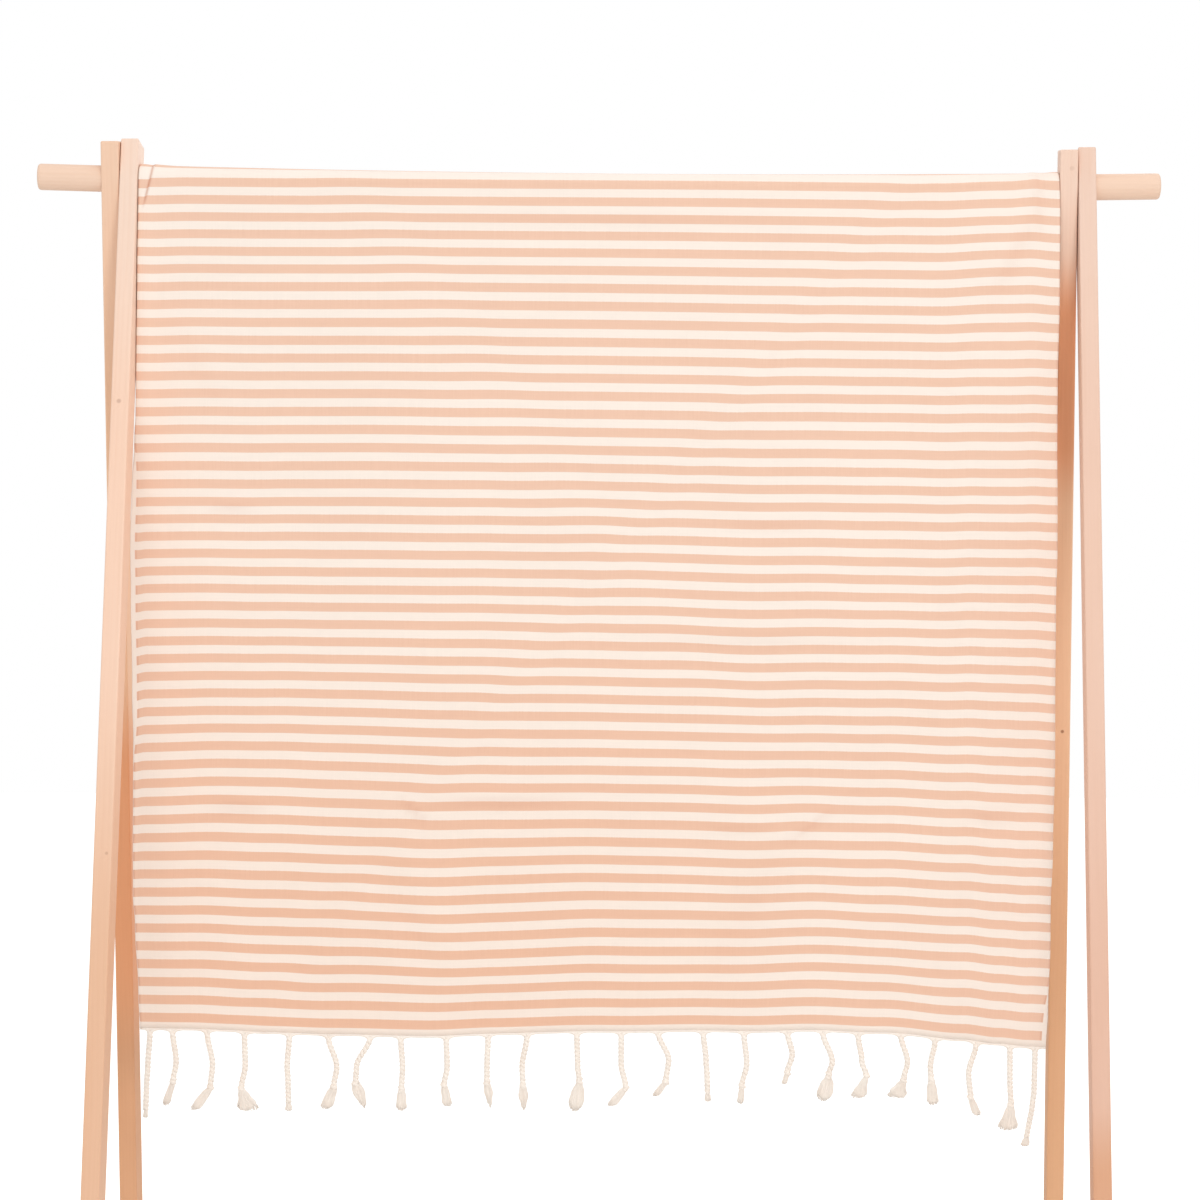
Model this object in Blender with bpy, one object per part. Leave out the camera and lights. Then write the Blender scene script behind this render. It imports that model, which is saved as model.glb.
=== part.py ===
"""Hammam towel hung over the rod of a plain wooden stand with two A-frames.

Metres, +Z up.  The viewer stands on the -Y side, and +X is on the viewer's right.  The origin
lies on the floor, under the middle of the rod.
"""

from collections import namedtuple
from math import cos, pi, radians, sin

import bmesh
import bpy
from mathutils import Vector

# Stand
ROD_DIAMETER = 0.028
ROD_LENGTH = 1.200
ROD_HEIGHT = 1.460          # rod axis above the floor, at the A-frames
ROD_BOW = 0.005             # how far the middle of the rod sits below its axis at the A-frames
ROD_END_ROUND = 0.003       # rounding of the rod's end edges
FRAME_SPACING = 1.022       # from the middle of one A-frame to the middle of the other
LEG_WIDTH = 0.019           # across the rod's end, along X
LEG_DEPTH = 0.035
LEG_TOP_END = 0.040         # wood above the rod's axis
LEG_SPLAY = radians(8.2)    # each leg, away from upright
LEG_TURN = radians(-4.0)    # how far each A-frame is turned about the upright
LEG_EDGE_ROUND = 0.0015
LEG_PAIR_GAP = 0.0008       # between the two battens of an A-frame
FIT_GAP = 0.0003            # between pieces that touch

# Towel
CLOTH_THICKNESS = 0.002
CLOTH_WIDTH = 1.000
CLOTH_ROD_GAP = 0.00045     # a little over the fit gap, because the fold is faceted
BACK_DROP = 0.825           # hem of the back panel below the rod's axis
RIGHT_CURL_WIDTH = 0.030    # width of cloth at the right selvedge that rolls towards the back
RIGHT_CURL_DEPTH = 0.007

# Fringe
HEADER_HEIGHT = 0.003       # band of bare threads from which the cords start
CORD_ROOT_WIDTH = 0.005
CORD_DEPTH = 0.005
BACK_CORD_LENGTH = 0.078
BACK_CORD_TIP = 0.008

# Fineness of the faceted shapes
ROD_SIDES = 36
ROD_SPANS = 16
ROD_END_STEPS = 3
FRONT_ROWS = 14
FOLD_ROWS = 12
BACK_ROWS = 9

# Where the selvedges hang: drop below the rod's axis, and both selvedges along X
Side = namedtuple("Side", "drop left right")
FRONT_SIDES = (
    Side(0.00, -0.4900, 0.4880),
    Side(0.26, -0.4905, 0.4880),
    Side(0.36, -0.4940, 0.4876),
    Side(0.45, -0.4940, 0.4870),
    Side(0.66, -0.4892, 0.4820),
    Side(0.79, -0.4865, 0.4795),
    Side(0.92, -0.4825, 0.4757),
)
BACK_SIDES = (
    Side(0.00, -0.4880, 0.4900),
    Side(0.83, -0.4860, 0.4870),
)

# Lower edge of the front panel: place along X, and its drop below the rod's axis
Hem = namedtuple("Hem", "place drop")
FRONT_HEM = (
    Hem(-0.490, 0.9020),
    Hem(-0.310, 0.9090),
    Hem(-0.150, 0.9090),
    Hem(0.000, 0.9056),
    Hem(0.110, 0.9043),
    Hem(0.230, 0.9046),
    Hem(0.320, 0.9090),
    Hem(0.375, 0.9130),
    Hem(0.430, 0.9190),
    Hem(0.490, 0.9215),
)

# Soft upright folds of each panel: place along X, and how far the hem stands forward there
Fold = namedtuple("Fold", "place forward")
FRONT_FOLDS = (
    Fold(-0.490, 0.001),
    Fold(-0.410, 0.005),
    Fold(-0.300, -0.001),
    Fold(-0.190, 0.006),
    Fold(-0.070, -0.004),
    Fold(0.040, 0.003),
    Fold(0.130, -0.003),
    Fold(0.250, 0.004),
    Fold(0.350, -0.002),
    Fold(0.440, 0.006),
    Fold(0.490, 0.004),
)
BACK_FOLDS = (
    Fold(-0.490, 0.000),
    Fold(-0.330, -0.005),
    Fold(-0.130, 0.003),
    Fold(0.080, -0.004),
    Fold(0.290, 0.003),
    Fold(0.490, -0.002),
)

# Cords of the front fringe: root measured along the flat hem from its middle, then how far the
# cord's middle and its tip sway along X, its length, and the width of its frayed tip
Cord = namedtuple("Cord", "root sway tip length tip_width")
FRONT_CORDS = (
    Cord(-0.489, -0.002, -0.003, 0.096, 0.005),
    Cord(-0.466, 0.006, -0.005, 0.081, 0.007),
    Cord(-0.426, 0.007, -0.013, 0.084, 0.012),
    Cord(-0.382, -0.001, 0.004, 0.078, 0.018),
    Cord(-0.335, -0.002, 0.000, 0.081, 0.007),
    Cord(-0.292, 0.007, -0.003, 0.078, 0.010),
    Cord(-0.249, -0.010, -0.003, 0.074, 0.008),
    Cord(-0.210, -0.002, 0.001, 0.075, 0.009),
    Cord(-0.163, 0.001, 0.003, 0.073, 0.008),
    Cord(-0.117, -0.001, 0.004, 0.076, 0.008),
    Cord(-0.073, -0.005, -0.003, 0.080, 0.009),
    Cord(-0.019, 0.002, -0.002, 0.082, 0.014),
    Cord(0.030, 0.003, -0.009, 0.077, 0.010),
    Cord(0.072, 0.007, -0.004, 0.067, 0.008),
    Cord(0.121, 0.005, 0.006, 0.073, 0.008),
    Cord(0.165, 0.004, -0.003, 0.075, 0.008),
    Cord(0.213, 0.006, -0.002, 0.054, 0.007),
    Cord(0.254, 0.009, 0.001, 0.074, 0.015),
    Cord(0.293, 0.004, 0.000, 0.068, 0.011),
    Cord(0.341, 0.006, -0.002, 0.064, 0.018),
    Cord(0.379, -0.006, -0.003, 0.070, 0.011),
    Cord(0.424, -0.009, 0.000, 0.076, 0.009),
    Cord(0.460, 0.000, -0.002, 0.086, 0.020),
    Cord(0.488, -0.002, -0.011, 0.107, 0.010),
)

# Outline of a cord: share of its length, share of the sideways sway towards its middle, share
# of the sway towards its tip, and its width, or 0 for the width of its frayed tip
Section = namedtuple("Section", "down to_middle to_tip width")
CORD_SECTIONS = (
    Section(0.06, 0.10, 0.0, 0.0056),
    Section(0.35, 0.90, 0.0, 0.0056),
    Section(0.60, 0.80, 0.2, 0.0060),
    Section(0.70, 0.45, 0.5, 0.0085),
    Section(0.78, 0.25, 0.7, 0.0070),
    Section(1.00, 0.00, 1.0, 0.0),
)

Finish = namedtuple("Finish", "color roughness metallic")
CLOTH_FINISH = Finish((0.90, 0.62, 0.46), 0.90, 0.0)
FRINGE_FINISH = Finish((0.87, 0.76, 0.66), 0.92, 0.0)
WOOD_FINISH = Finish((0.86, 0.63, 0.45), 0.60, 0.0)

ROD_RADIUS = ROD_DIAMETER / 2
FRAME_HALF = FRAME_SPACING / 2
FOLD_RADIUS = ROD_RADIUS + CLOTH_ROD_GAP + CLOTH_THICKNESS / 2


def clear_scene():
    """Remove every object that the scene starts with."""
    for obj in list(bpy.data.objects):
        bpy.data.objects.remove(obj, do_unlink=True)


def make_material(name, finish):
    """A plain surface with the finish's colour, roughness and metallic value."""
    material = bpy.data.materials.new(name)
    material.use_nodes = True
    shader = material.node_tree.nodes["Principled BSDF"]
    shader.inputs["Base Color"].default_value = (*finish.color, 1.0)
    shader.inputs["Roughness"].default_value = finish.roughness
    shader.inputs["Metallic"].default_value = finish.metallic
    return material


def add_mesh(name, points, faces, material=None):
    """An object from points and faces, with all its faces turned outwards."""
    mesh = bpy.data.meshes.new(name)
    mesh.from_pydata(points, [], faces)
    shape = bmesh.new()
    shape.from_mesh(mesh)
    bmesh.ops.recalc_face_normals(shape, faces=shape.faces)
    shape.to_mesh(mesh)
    shape.free()
    if material:
        mesh.materials.append(material)
    obj = bpy.data.objects.new(name, mesh)
    bpy.context.collection.objects.link(obj)
    return obj


def ease(rows, key, value, at):
    """Read a table smoothly: each stretch between two rows starts and ends level."""
    if at <= getattr(rows[0], key):
        return getattr(rows[0], value)
    for before, after in zip(rows, rows[1:]):
        start, end = getattr(before, key), getattr(after, key)
        if at <= end:
            share = (at - start) / (end - start)
            share = share * share * (3 - 2 * share)
            return getattr(before, value) + share * (getattr(after, value) - getattr(before, value))
    return getattr(rows[-1], value)


def mix(first, second, share):
    """The value that lies the given share of the way from the first to the second."""
    return first + (second - first) * share


def rod_axis(x):
    """Height of the bowed rod's axis above the floor."""
    return ROD_HEIGHT - ROD_BOW * (1 - (x / FRAME_HALF) ** 2)


def bowed_bar(name, stations, material=None):
    """A round bar along the rod's axis, from rows of place along X and radius."""
    points = []
    for x, radius in stations:
        for side in range(ROD_SIDES):
            angle = 2 * pi * side / ROD_SIDES
            points.append((x, radius * cos(angle), rod_axis(x) + radius * sin(angle)))
    faces = []
    for ring in range(len(stations) - 1):
        for side in range(ROD_SIDES):
            near = ring * ROD_SIDES + side
            far = ring * ROD_SIDES + (side + 1) % ROD_SIDES
            faces.append((near, far, far + ROD_SIDES, near + ROD_SIDES))
    last = len(points) - ROD_SIDES
    faces.append(tuple(range(ROD_SIDES)))
    faces.append(tuple(range(last, len(points))))
    return add_mesh(name, points, faces, material)


def make_rod(material):
    """The dowel, with both its end edges rounded."""
    half = ROD_LENGTH / 2
    end = []
    for step in range(ROD_END_STEPS + 1):
        angle = pi / 2 * step / ROD_END_STEPS
        inset = ROD_END_ROUND * (1 - sin(angle))
        end.append((half - ROD_END_ROUND * (1 - cos(angle)), ROD_RADIUS - inset))
    body_half = half - ROD_END_ROUND
    middle = [mix(-body_half, body_half, span / ROD_SPANS) for span in range(1, ROD_SPANS)]
    stations = [(-x, radius) for x, radius in end]
    stations += [(x, ROD_RADIUS) for x in middle]
    stations += list(reversed(end))
    rod = bowed_bar("rod", stations, material)
    rod.data.shade_smooth()
    rod.data.set_sharp_from_angle(angle=radians(40))
    return rod


def make_hole_cutter():
    """The space of the rod and its fit gap, which is cut from the legs."""
    radius = ROD_RADIUS + FIT_GAP
    half = ROD_LENGTH / 2
    stations = [(mix(-half, half, span / ROD_SPANS), radius) for span in range(ROD_SPANS + 1)]
    cutter = bowed_bar("rod_hole_cutter", stations)
    cutter.hide_render = True
    cutter.display_type = "WIRE"
    return cutter


def make_leg(name, parent, offset, lean, cutter, material):
    """One batten: square top, foot cut level with the floor, and a hole for the rod.

    Its own origin is on the rod's axis, and its length runs along its own Z.
    """
    half_width, half_depth = LEG_WIDTH / 2, LEG_DEPTH / 2
    points = []
    for x in (-half_width, half_width):
        for y in (-half_depth, half_depth):
            foot = (-ROD_HEIGHT - y * sin(lean)) / cos(lean)
            points += [(x, y, foot), (x, y, LEG_TOP_END)]
    faces = [(0, 1, 3, 2), (4, 5, 7, 6), (0, 1, 5, 4), (2, 3, 7, 6), (0, 2, 6, 4), (1, 3, 7, 5)]
    leg = add_mesh(name, points, faces, material)
    leg.parent = parent
    leg.location = (offset, 0, 0)
    leg.rotation_euler = (lean, 0, 0)
    bevel = leg.modifiers.new("rounded_edges", "BEVEL")
    bevel.width = LEG_EDGE_ROUND
    bevel.segments = 2
    bevel.limit_method = "ANGLE"
    hole = leg.modifiers.new("rod_hole", "BOOLEAN")
    hole.operation = "DIFFERENCE"
    hole.solver = "EXACT"
    hole.object = cutter
    return leg


def make_frame(side_name, x, cutter, material):
    """An A-frame: its back leg stands on the left of its front leg at both ends of the rod."""
    centre = bpy.data.objects.new(f"{side_name}_frame_centre", None)
    bpy.context.collection.objects.link(centre)
    centre.location = (x, 0, ROD_HEIGHT)
    centre.rotation_euler = (0, 0, LEG_TURN)
    offset = (LEG_WIDTH + LEG_PAIR_GAP) / 2
    make_leg(f"{side_name}_back_leg", centre, -offset, LEG_SPLAY, cutter, material)
    make_leg(f"{side_name}_front_leg", centre, offset, -LEG_SPLAY, cutter, material)


def across_panel(sides, share, drop):
    """Place along X of a point that lies a share of the way from the left selvedge."""
    left = ease(sides, "drop", "left", drop)
    right = ease(sides, "drop", "right", drop)
    return mix(left, right, share)


def front_point(share, depth):
    """Point of the front panel, a share of the way across and of the way down to its hem."""
    x = across_panel(FRONT_SIDES, share, depth * FRONT_HEM[0].drop)
    hem_drop = ease(FRONT_HEM, "place", "drop", x)
    forward = ease(FRONT_FOLDS, "place", "forward", x) * depth ** 1.5
    from_selvedge = (1 - share) * CLOTH_WIDTH
    rolled = max(0, 1 - from_selvedge / RIGHT_CURL_WIDTH) ** 2
    curl = RIGHT_CURL_DEPTH * rolled * min(1, depth * 5)
    z = mix(rod_axis(x), ROD_HEIGHT - hem_drop, depth)
    return Vector((x, -FOLD_RADIUS - forward + curl, z))


def back_point(share, depth):
    """Point of the back panel, a share of the way across and of the way down to its hem."""
    x = across_panel(BACK_SIDES, share, depth * BACK_DROP)
    forward = ease(BACK_FOLDS, "place", "forward", x) * depth ** 1.5
    z = mix(rod_axis(x), ROD_HEIGHT - BACK_DROP, depth)
    return Vector((x, FOLD_RADIUS - forward, z))


def fold_point(share, turn):
    """Point where the cloth lies round the rod: turn is 0 at its front and pi at its back."""
    front = across_panel(FRONT_SIDES, share, 0)
    back = across_panel(BACK_SIDES, share, 0)
    x = mix(front, back, turn / pi)
    return Vector((x, -FOLD_RADIUS * cos(turn), rod_axis(x) + FOLD_RADIUS * sin(turn)))


def column_shares():
    """Shares of the cloth's width where its facets meet: one between every two cords."""
    roots = [cord.root for cord in FRONT_CORDS]
    between = [0.5 + (left + right) / 2 / CLOTH_WIDTH for left, right in zip(roots, roots[1:])]
    return [0.0, *between, 1.0]


def make_towel(material):
    """The cloth: up the front panel from its hem, round the rod and down the back panel."""
    shares = column_shares()
    rows = []
    for row in range(FRONT_ROWS):
        rows.append([front_point(share, 1 - row / FRONT_ROWS) for share in shares])
    for row in range(FOLD_ROWS):
        rows.append([fold_point(share, pi * row / FOLD_ROWS) for share in shares])
    for row in range(BACK_ROWS + 1):
        rows.append([back_point(share, row / BACK_ROWS) for share in shares])
    points = [point for row in rows for point in row]
    wide = len(shares)
    faces = []
    for row in range(len(rows) - 1):
        for column in range(wide - 1):
            near = row * wide + column
            faces.append((near, near + 1, near + wide + 1, near + wide))
    towel = add_mesh("towel", points, faces, material)
    towel.data.shade_smooth()
    body = towel.modifiers.new("cloth_body", "SOLIDIFY")
    body.thickness = CLOTH_THICKNESS
    body.offset = 0
    body.use_even_offset = True
    return towel


def ring(centre, width, depth):
    """Four corners of a level section: left front, right front, right back, left back."""
    side = Vector((width / 2, 0, 0))
    back = Vector((0, depth / 2, 0))
    return [centre - side - back, centre + side - back, centre + side + back, centre - side + back]


def make_fringe(name, cords, hem_point, material):
    """A comb: a thin header along the hem, from which each cord hangs as a tooth.

    hem_point gives the middle of the cloth's lower edge, a share of the way across.  The header
    runs straight between the cloth's columns, as the faceted hem above it does.
    """
    down = Vector((0, 0, -1))
    half_root = CORD_ROOT_WIDTH / 2
    half_cloth = Vector((0, CLOTH_THICKNESS / 2, 0))
    columns = column_shares()
    corners = [hem_point(column) + down * FIT_GAP for column in columns]

    def on_header(number, place):
        """Point of the header's top between two columns, at a place along the flat hem."""
        left, right = columns[number], columns[number + 1]
        along = (0.5 + place / CLOTH_WIDTH - left) / (right - left)
        return corners[number].lerp(corners[number + 1], along)

    tops = []
    for number, cord in enumerate(cords):
        tops.append(corners[number])
        tops.append(on_header(number, cord.root - half_root))
        tops.append(on_header(number, cord.root + half_root))
    tops.append(corners[-1])

    points, faces = [], []
    for top in tops:
        low = top + down * HEADER_HEIGHT
        points += [top - half_cloth, low - half_cloth, low + half_cloth, top + half_cloth]
    for span in range(len(tops) - 1):
        near, far = 4 * span, 4 * span + 4
        faces.append((near, near + 1, far + 1, far))
        faces.append((near + 2, near + 3, far + 3, far + 2))
        faces.append((near + 3, near, far, far + 3))
        over_a_cord = span % 3 == 1
        if not over_a_cord:
            faces.append((near + 1, near + 2, far + 2, far + 1))
    faces.append((0, 1, 2, 3))
    faces.append(tuple(range(len(points) - 4, len(points))))

    for number, cord in enumerate(cords):
        left = 4 * (3 * number + 1)
        right = left + 4
        above = [left + 1, right + 1, right + 2, left + 2]
        start = on_header(number, cord.root) + down * HEADER_HEIGHT
        for section in CORD_SECTIONS:
            sideways = cord.sway * section.to_middle + cord.tip * section.to_tip
            centre = start + Vector((sideways, 0, -cord.length * section.down))
            below = [len(points) + corner for corner in range(4)]
            points += ring(centre, section.width or cord.tip_width, CORD_DEPTH)
            for corner in range(4):
                after = (corner + 1) % 4
                faces.append((above[corner], above[after], below[after], below[corner]))
            above = below
        faces.append(tuple(above))
    return add_mesh(name, points, faces, material)


def plain_cords():
    """Even, straight cords for the end of the towel that hangs at the back."""
    return [Cord(cord.root, 0.0, 0.0, BACK_CORD_LENGTH, BACK_CORD_TIP) for cord in FRONT_CORDS]


def main():
    clear_scene()
    wood = make_material("wood", WOOD_FINISH)
    cloth = make_material("striped_cotton", CLOTH_FINISH)
    threads = make_material("fringe_threads", FRINGE_FINISH)
    cutter = make_hole_cutter()
    make_rod(wood)
    make_frame("left", -FRAME_HALF, cutter, wood)
    make_frame("right", FRAME_HALF, cutter, wood)
    make_towel(cloth)
    make_fringe("fringe_front", FRONT_CORDS, lambda share: front_point(share, 1), threads)
    make_fringe("fringe_back", plain_cords(), lambda share: back_point(share, 1), threads)


main()
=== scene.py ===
"""Looks of a striped hammam towel draped over the rod of a plain wooden stand.

Metres, +Z up.  The viewer stands on the -Y side and +X is on the viewer's right, as in the
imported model.  Across the cloth, places are measured from its left selvedge.  Along it they are
measured from its front hem, up the front panel, round the rod and down the back panel.
"""

import logging
import math
from dataclasses import dataclass, field
from enum import Enum
from typing import Callable, Mapping, NamedTuple, Optional, Sequence, Union

import bpy
import numpy as np
from mathutils import Matrix, Vector


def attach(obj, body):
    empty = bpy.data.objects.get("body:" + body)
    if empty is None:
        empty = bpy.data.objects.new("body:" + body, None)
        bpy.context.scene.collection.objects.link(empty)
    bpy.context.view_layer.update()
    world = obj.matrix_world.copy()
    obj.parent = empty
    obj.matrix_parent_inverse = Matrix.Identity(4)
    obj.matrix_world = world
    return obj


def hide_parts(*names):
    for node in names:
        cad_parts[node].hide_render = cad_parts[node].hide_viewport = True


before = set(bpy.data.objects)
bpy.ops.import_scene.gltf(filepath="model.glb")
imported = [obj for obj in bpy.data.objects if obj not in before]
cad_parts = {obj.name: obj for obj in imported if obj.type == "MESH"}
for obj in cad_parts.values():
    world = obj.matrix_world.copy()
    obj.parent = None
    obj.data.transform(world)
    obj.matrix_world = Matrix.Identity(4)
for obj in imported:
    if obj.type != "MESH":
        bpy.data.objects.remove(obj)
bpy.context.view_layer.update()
MM = 0.001
FULL_TURN = 2.0 * math.pi
GOLDEN_SHARE = 0.6180339887
PATTERN_MAP = "pattern"
# Point attribute that holds the painted shade of creases and of the pleat.
PAINTED_CREASE_SHADE = "crease_shade"

log = logging.getLogger("towel_scene")
Colour = tuple[float, float, float]
Triple = tuple[float, float, float]


# ---------------------------------------------------------------------------------------------
# Arrays and tables
# ---------------------------------------------------------------------------------------------

def smooth(share: np.ndarray) -> np.ndarray:
    """Ease from 0 to 1: three squares less two cubes of the share, held at both ends."""
    held = np.clip(share, 0.0, 1.0)
    return held * held * (3.0 - 2.0 * held)


def ramp(value: np.ndarray, start: float, end: float) -> np.ndarray:
    """Ease from 0 where the value is the start to 1 where it is the end."""
    return smooth((value - start) / (end - start))


def mix(first: np.ndarray, second: np.ndarray, share: np.ndarray) -> np.ndarray:
    """The value that lies the given share of the way from the first to the second."""
    return first + (second - first) * share


def bell(offset: np.ndarray, width: float) -> np.ndarray:
    """One at no offset, falling away on both sides as e to the minus square of offset by width."""
    return np.exp(-np.square(offset / width))


def read(rows: Sequence[NamedTuple], key: str, value: str, at: np.ndarray) -> np.ndarray:
    """Read a table smoothly, so that each stretch between two rows starts and ends level.

    Args:
        rows: the table, sorted by its key.
        key: name of the column that says where each row applies.
        value: name of the column that is read.
        at: places to read the table at, held to its first and last rows.

    Returns:
        The value at each place.
    """
    places = np.array([getattr(row, key) for row in rows])
    values = np.array([getattr(row, value) for row in rows])
    row = np.clip(np.searchsorted(places, at, side="right") - 1, 0, len(rows) - 2)
    share = smooth((at - places[row]) / (places[row + 1] - places[row]))
    return mix(values[row], values[row + 1], share)


def unit(vectors: np.ndarray) -> np.ndarray:
    """The same directions with a length of one."""
    return vectors / np.linalg.norm(vectors, axis=-1, keepdims=True)


def spread(stops: Sequence[float], steps: Sequence[int]) -> np.ndarray:
    """Places from the first stop to the last, evenly spaced between each two stops.

    Args:
        stops: both ends, and the places between them where the spacing changes.
        steps: number of steps between each two stops.

    Returns:
        The places, the last stop among them.
    """
    stretches = zip(stops, stops[1:], steps)
    parts = [np.linspace(start, end, count, endpoint=False) for start, end, count in stretches]
    return np.append(np.concatenate(parts), stops[-1])


# ---------------------------------------------------------------------------------------------
# Surfaces
# ---------------------------------------------------------------------------------------------

@dataclass
class Surface:
    """Four-sided faces between points, flat end faces, and each corner's place on the pattern."""

    points: np.ndarray
    quads: np.ndarray
    quad_pattern: np.ndarray
    ends: list[list[int]] = field(default_factory=list)
    end_pattern: list[tuple[float, float]] = field(default_factory=list)

    @classmethod
    def joined(cls, parts: Sequence["Surface"]) -> "Surface":
        """One surface from several, which keep their own points.

        Args:
            parts: the surfaces.

        Returns:
            The surface, in which each part's corners count on from the part before.
        """
        starts = np.cumsum([0] + [len(part.points) for part in parts])
        ends = [
            [corner + int(start) for corner in end]
            for part, start in zip(parts, starts)
            for end in part.ends
        ]
        return cls(
            np.concatenate([part.points for part in parts]),
            np.concatenate([part.quads + start for part, start in zip(parts, starts)]),
            np.concatenate([part.quad_pattern for part in parts]),
            ends,
            [place for part in parts for place in part.end_pattern],
        )

    def build(self, name: str, material: bpy.types.Material) -> bpy.types.Object:
        """Put the surface into a mesh object that shows the material.

        Args:
            name: name of the piece.
            material: finish of all its faces.

        Returns:
            The object, at the origin, with smooth faces and the pattern as its UV map.
        """
        mesh = bpy.data.meshes.new(name)
        mesh.from_pydata(self.points.tolist(), [], self.quads.tolist() + self.ends)
        corners = [self.quad_pattern.reshape(-1, 2)]
        for end, place in zip(self.ends, self.end_pattern):
            corners.append(np.tile(place, (len(end), 1)))
        layer = mesh.uv_layers.new(name=PATTERN_MAP)
        layer.data.foreach_set("uv", np.concatenate(corners).astype(np.float32).ravel())
        mesh.shade_smooth()
        mesh.materials.append(material)
        mesh.update()
        piece = bpy.data.objects.new(name, mesh)
        bpy.context.scene.collection.objects.link(piece)
        return piece


def sheet_surface(points: np.ndarray, across: np.ndarray, along: np.ndarray) -> Surface:
    """An open surface from a grid of points.

    Args:
        points: rows by columns by 3, the rows running along the cloth.
        across: each point's place across the cloth, rows by columns.
        along: each point's place along the cloth, rows by columns.

    Returns:
        The surface.  Its faces point to the side from which rows rise and columns run right.
    """
    rows, columns = points.shape[:2]
    number = np.arange(rows * columns).reshape(rows, columns)
    quads = np.stack([number[:-1, :-1], number[:-1, 1:], number[1:, 1:], number[1:, :-1]], -1)
    quads = quads.reshape(-1, 4)
    pattern = np.stack([across, along], -1).reshape(-1, 2)
    return Surface(points.reshape(-1, 3), quads, pattern[quads])


def tube(
    path: np.ndarray,
    wide: np.ndarray,
    deep: np.ndarray,
    sides: int = 8,
    facing: Triple = (0.0, 1.0, 0.0),
) -> Surface:
    """A closed tube: an ellipse carried along a path.

    The section at a point of the path lies square to the path.  Its first axis is the path's
    direction crossed with the facing direction, and its second is the direction crossed with
    the first, so a point is the path plus wide times cosine along one and deep times sine along
    the other.

    Args:
        path: points by 3.
        wide: half the section's size along its first axis, at each point or for all.
        deep: half its size along its second axis.
        sides: corners of the section.
        facing: a direction that the path never takes.

    Returns:
        The tube with both ends closed.  Its pattern runs from 0 to 1 round it and in metres
        along it.
    """
    count = len(path)
    direction = unit(np.gradient(path, axis=0))
    first = unit(np.cross(direction, np.array(facing)))
    second = np.cross(direction, first)
    turn = np.linspace(0.0, FULL_TURN, sides, endpoint=False)[:, None]
    wide, deep = (np.broadcast_to(half, count)[:, None, None] for half in (wide, deep))
    ring = first[:, None] * np.cos(turn) * wide + second[:, None] * np.sin(turn) * deep
    points = path[:, None] + ring
    number = np.arange(count * sides).reshape(count, sides)
    after = np.roll(number, -1, axis=1)
    quads = np.stack([number[:-1], after[:-1], after[1:], number[1:]], -1).reshape(-1, 4)
    steps = np.linalg.norm(np.diff(path, axis=0), axis=1)
    along = np.append(0.0, np.cumsum(steps))
    around = np.arange(sides + 1) / sides
    corner_u = np.stack([around[:-1], around[1:], around[1:], around[:-1]], -1)
    corner_v = np.stack([along[:-1], along[:-1], along[1:], along[1:]], -1)[:, None]
    corners = [np.broadcast_to(corner, (count - 1, sides, 4)) for corner in (corner_u, corner_v)]
    pattern = np.stack(corners, -1).reshape(-1, 4, 2)
    ends = [number[0, ::-1].tolist(), number[-1].tolist()]
    places = [(0.5, 0.0), (0.5, float(along[-1]))]
    return Surface(points.reshape(-1, 3), quads, pattern, ends, places)


# ---------------------------------------------------------------------------------------------
# Shader maths
# ---------------------------------------------------------------------------------------------

class Wire:
    """One output of a node, so that maths on materials reads as Python."""

    def __init__(self, bench: "NodeBench", socket: bpy.types.NodeSocket) -> None:
        """Hold the socket and the bench that its nodes are made on."""
        self.bench = bench
        self.socket = socket

    def __add__(self, other: "Value") -> "Wire":
        """Sum."""
        return self.bench.math("ADD", self, other)

    __radd__ = __add__

    def __mul__(self, other: "Value") -> "Wire":
        """Product."""
        return self.bench.math("MULTIPLY", self, other)

    __rmul__ = __mul__

    def __sub__(self, other: "Value") -> "Wire":
        """Difference."""
        return self.bench.math("SUBTRACT", self, other)

    def __rsub__(self, other: "Value") -> "Wire":
        """Difference, with this wire taken away."""
        return self.bench.math("SUBTRACT", other, self)

    def __truediv__(self, other: "Value") -> "Wire":
        """Quotient."""
        return self.bench.math("DIVIDE", self, other)

    def root(self) -> "Wire":
        """Square root."""
        return self.bench.math("POWER", self, 0.5)

    def fraction(self) -> "Wire":
        """What is left over above the whole number below it."""
        return self.bench.math("FRACT", self)

    def wave(self, pitch: float) -> "Wire":
        """Sine with one whole turn for each pitch."""
        return self.bench.math("SINE", self * (FULL_TURN / pitch))

    def size(self) -> "Wire":
        """Value without its sign."""
        return self.bench.math("ABSOLUTE", self)

    def eased(self, low: float, high: float) -> "Wire":
        """Ease from 0 at low to 1 at high."""
        values = {"Value": self, "From Min": low, "From Max": high}
        return self.bench.out("ShaderNodeMapRange", {"interpolation_type": "SMOOTHSTEP"}, values)


Value = Union[Wire, float]
Tint = Union[Wire, Colour]
Owner = Union[bpy.types.Material, bpy.types.World]
Settings = Optional[Mapping[str, object]]
Inputs = Optional[Mapping[Union[str, int], object]]


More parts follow.
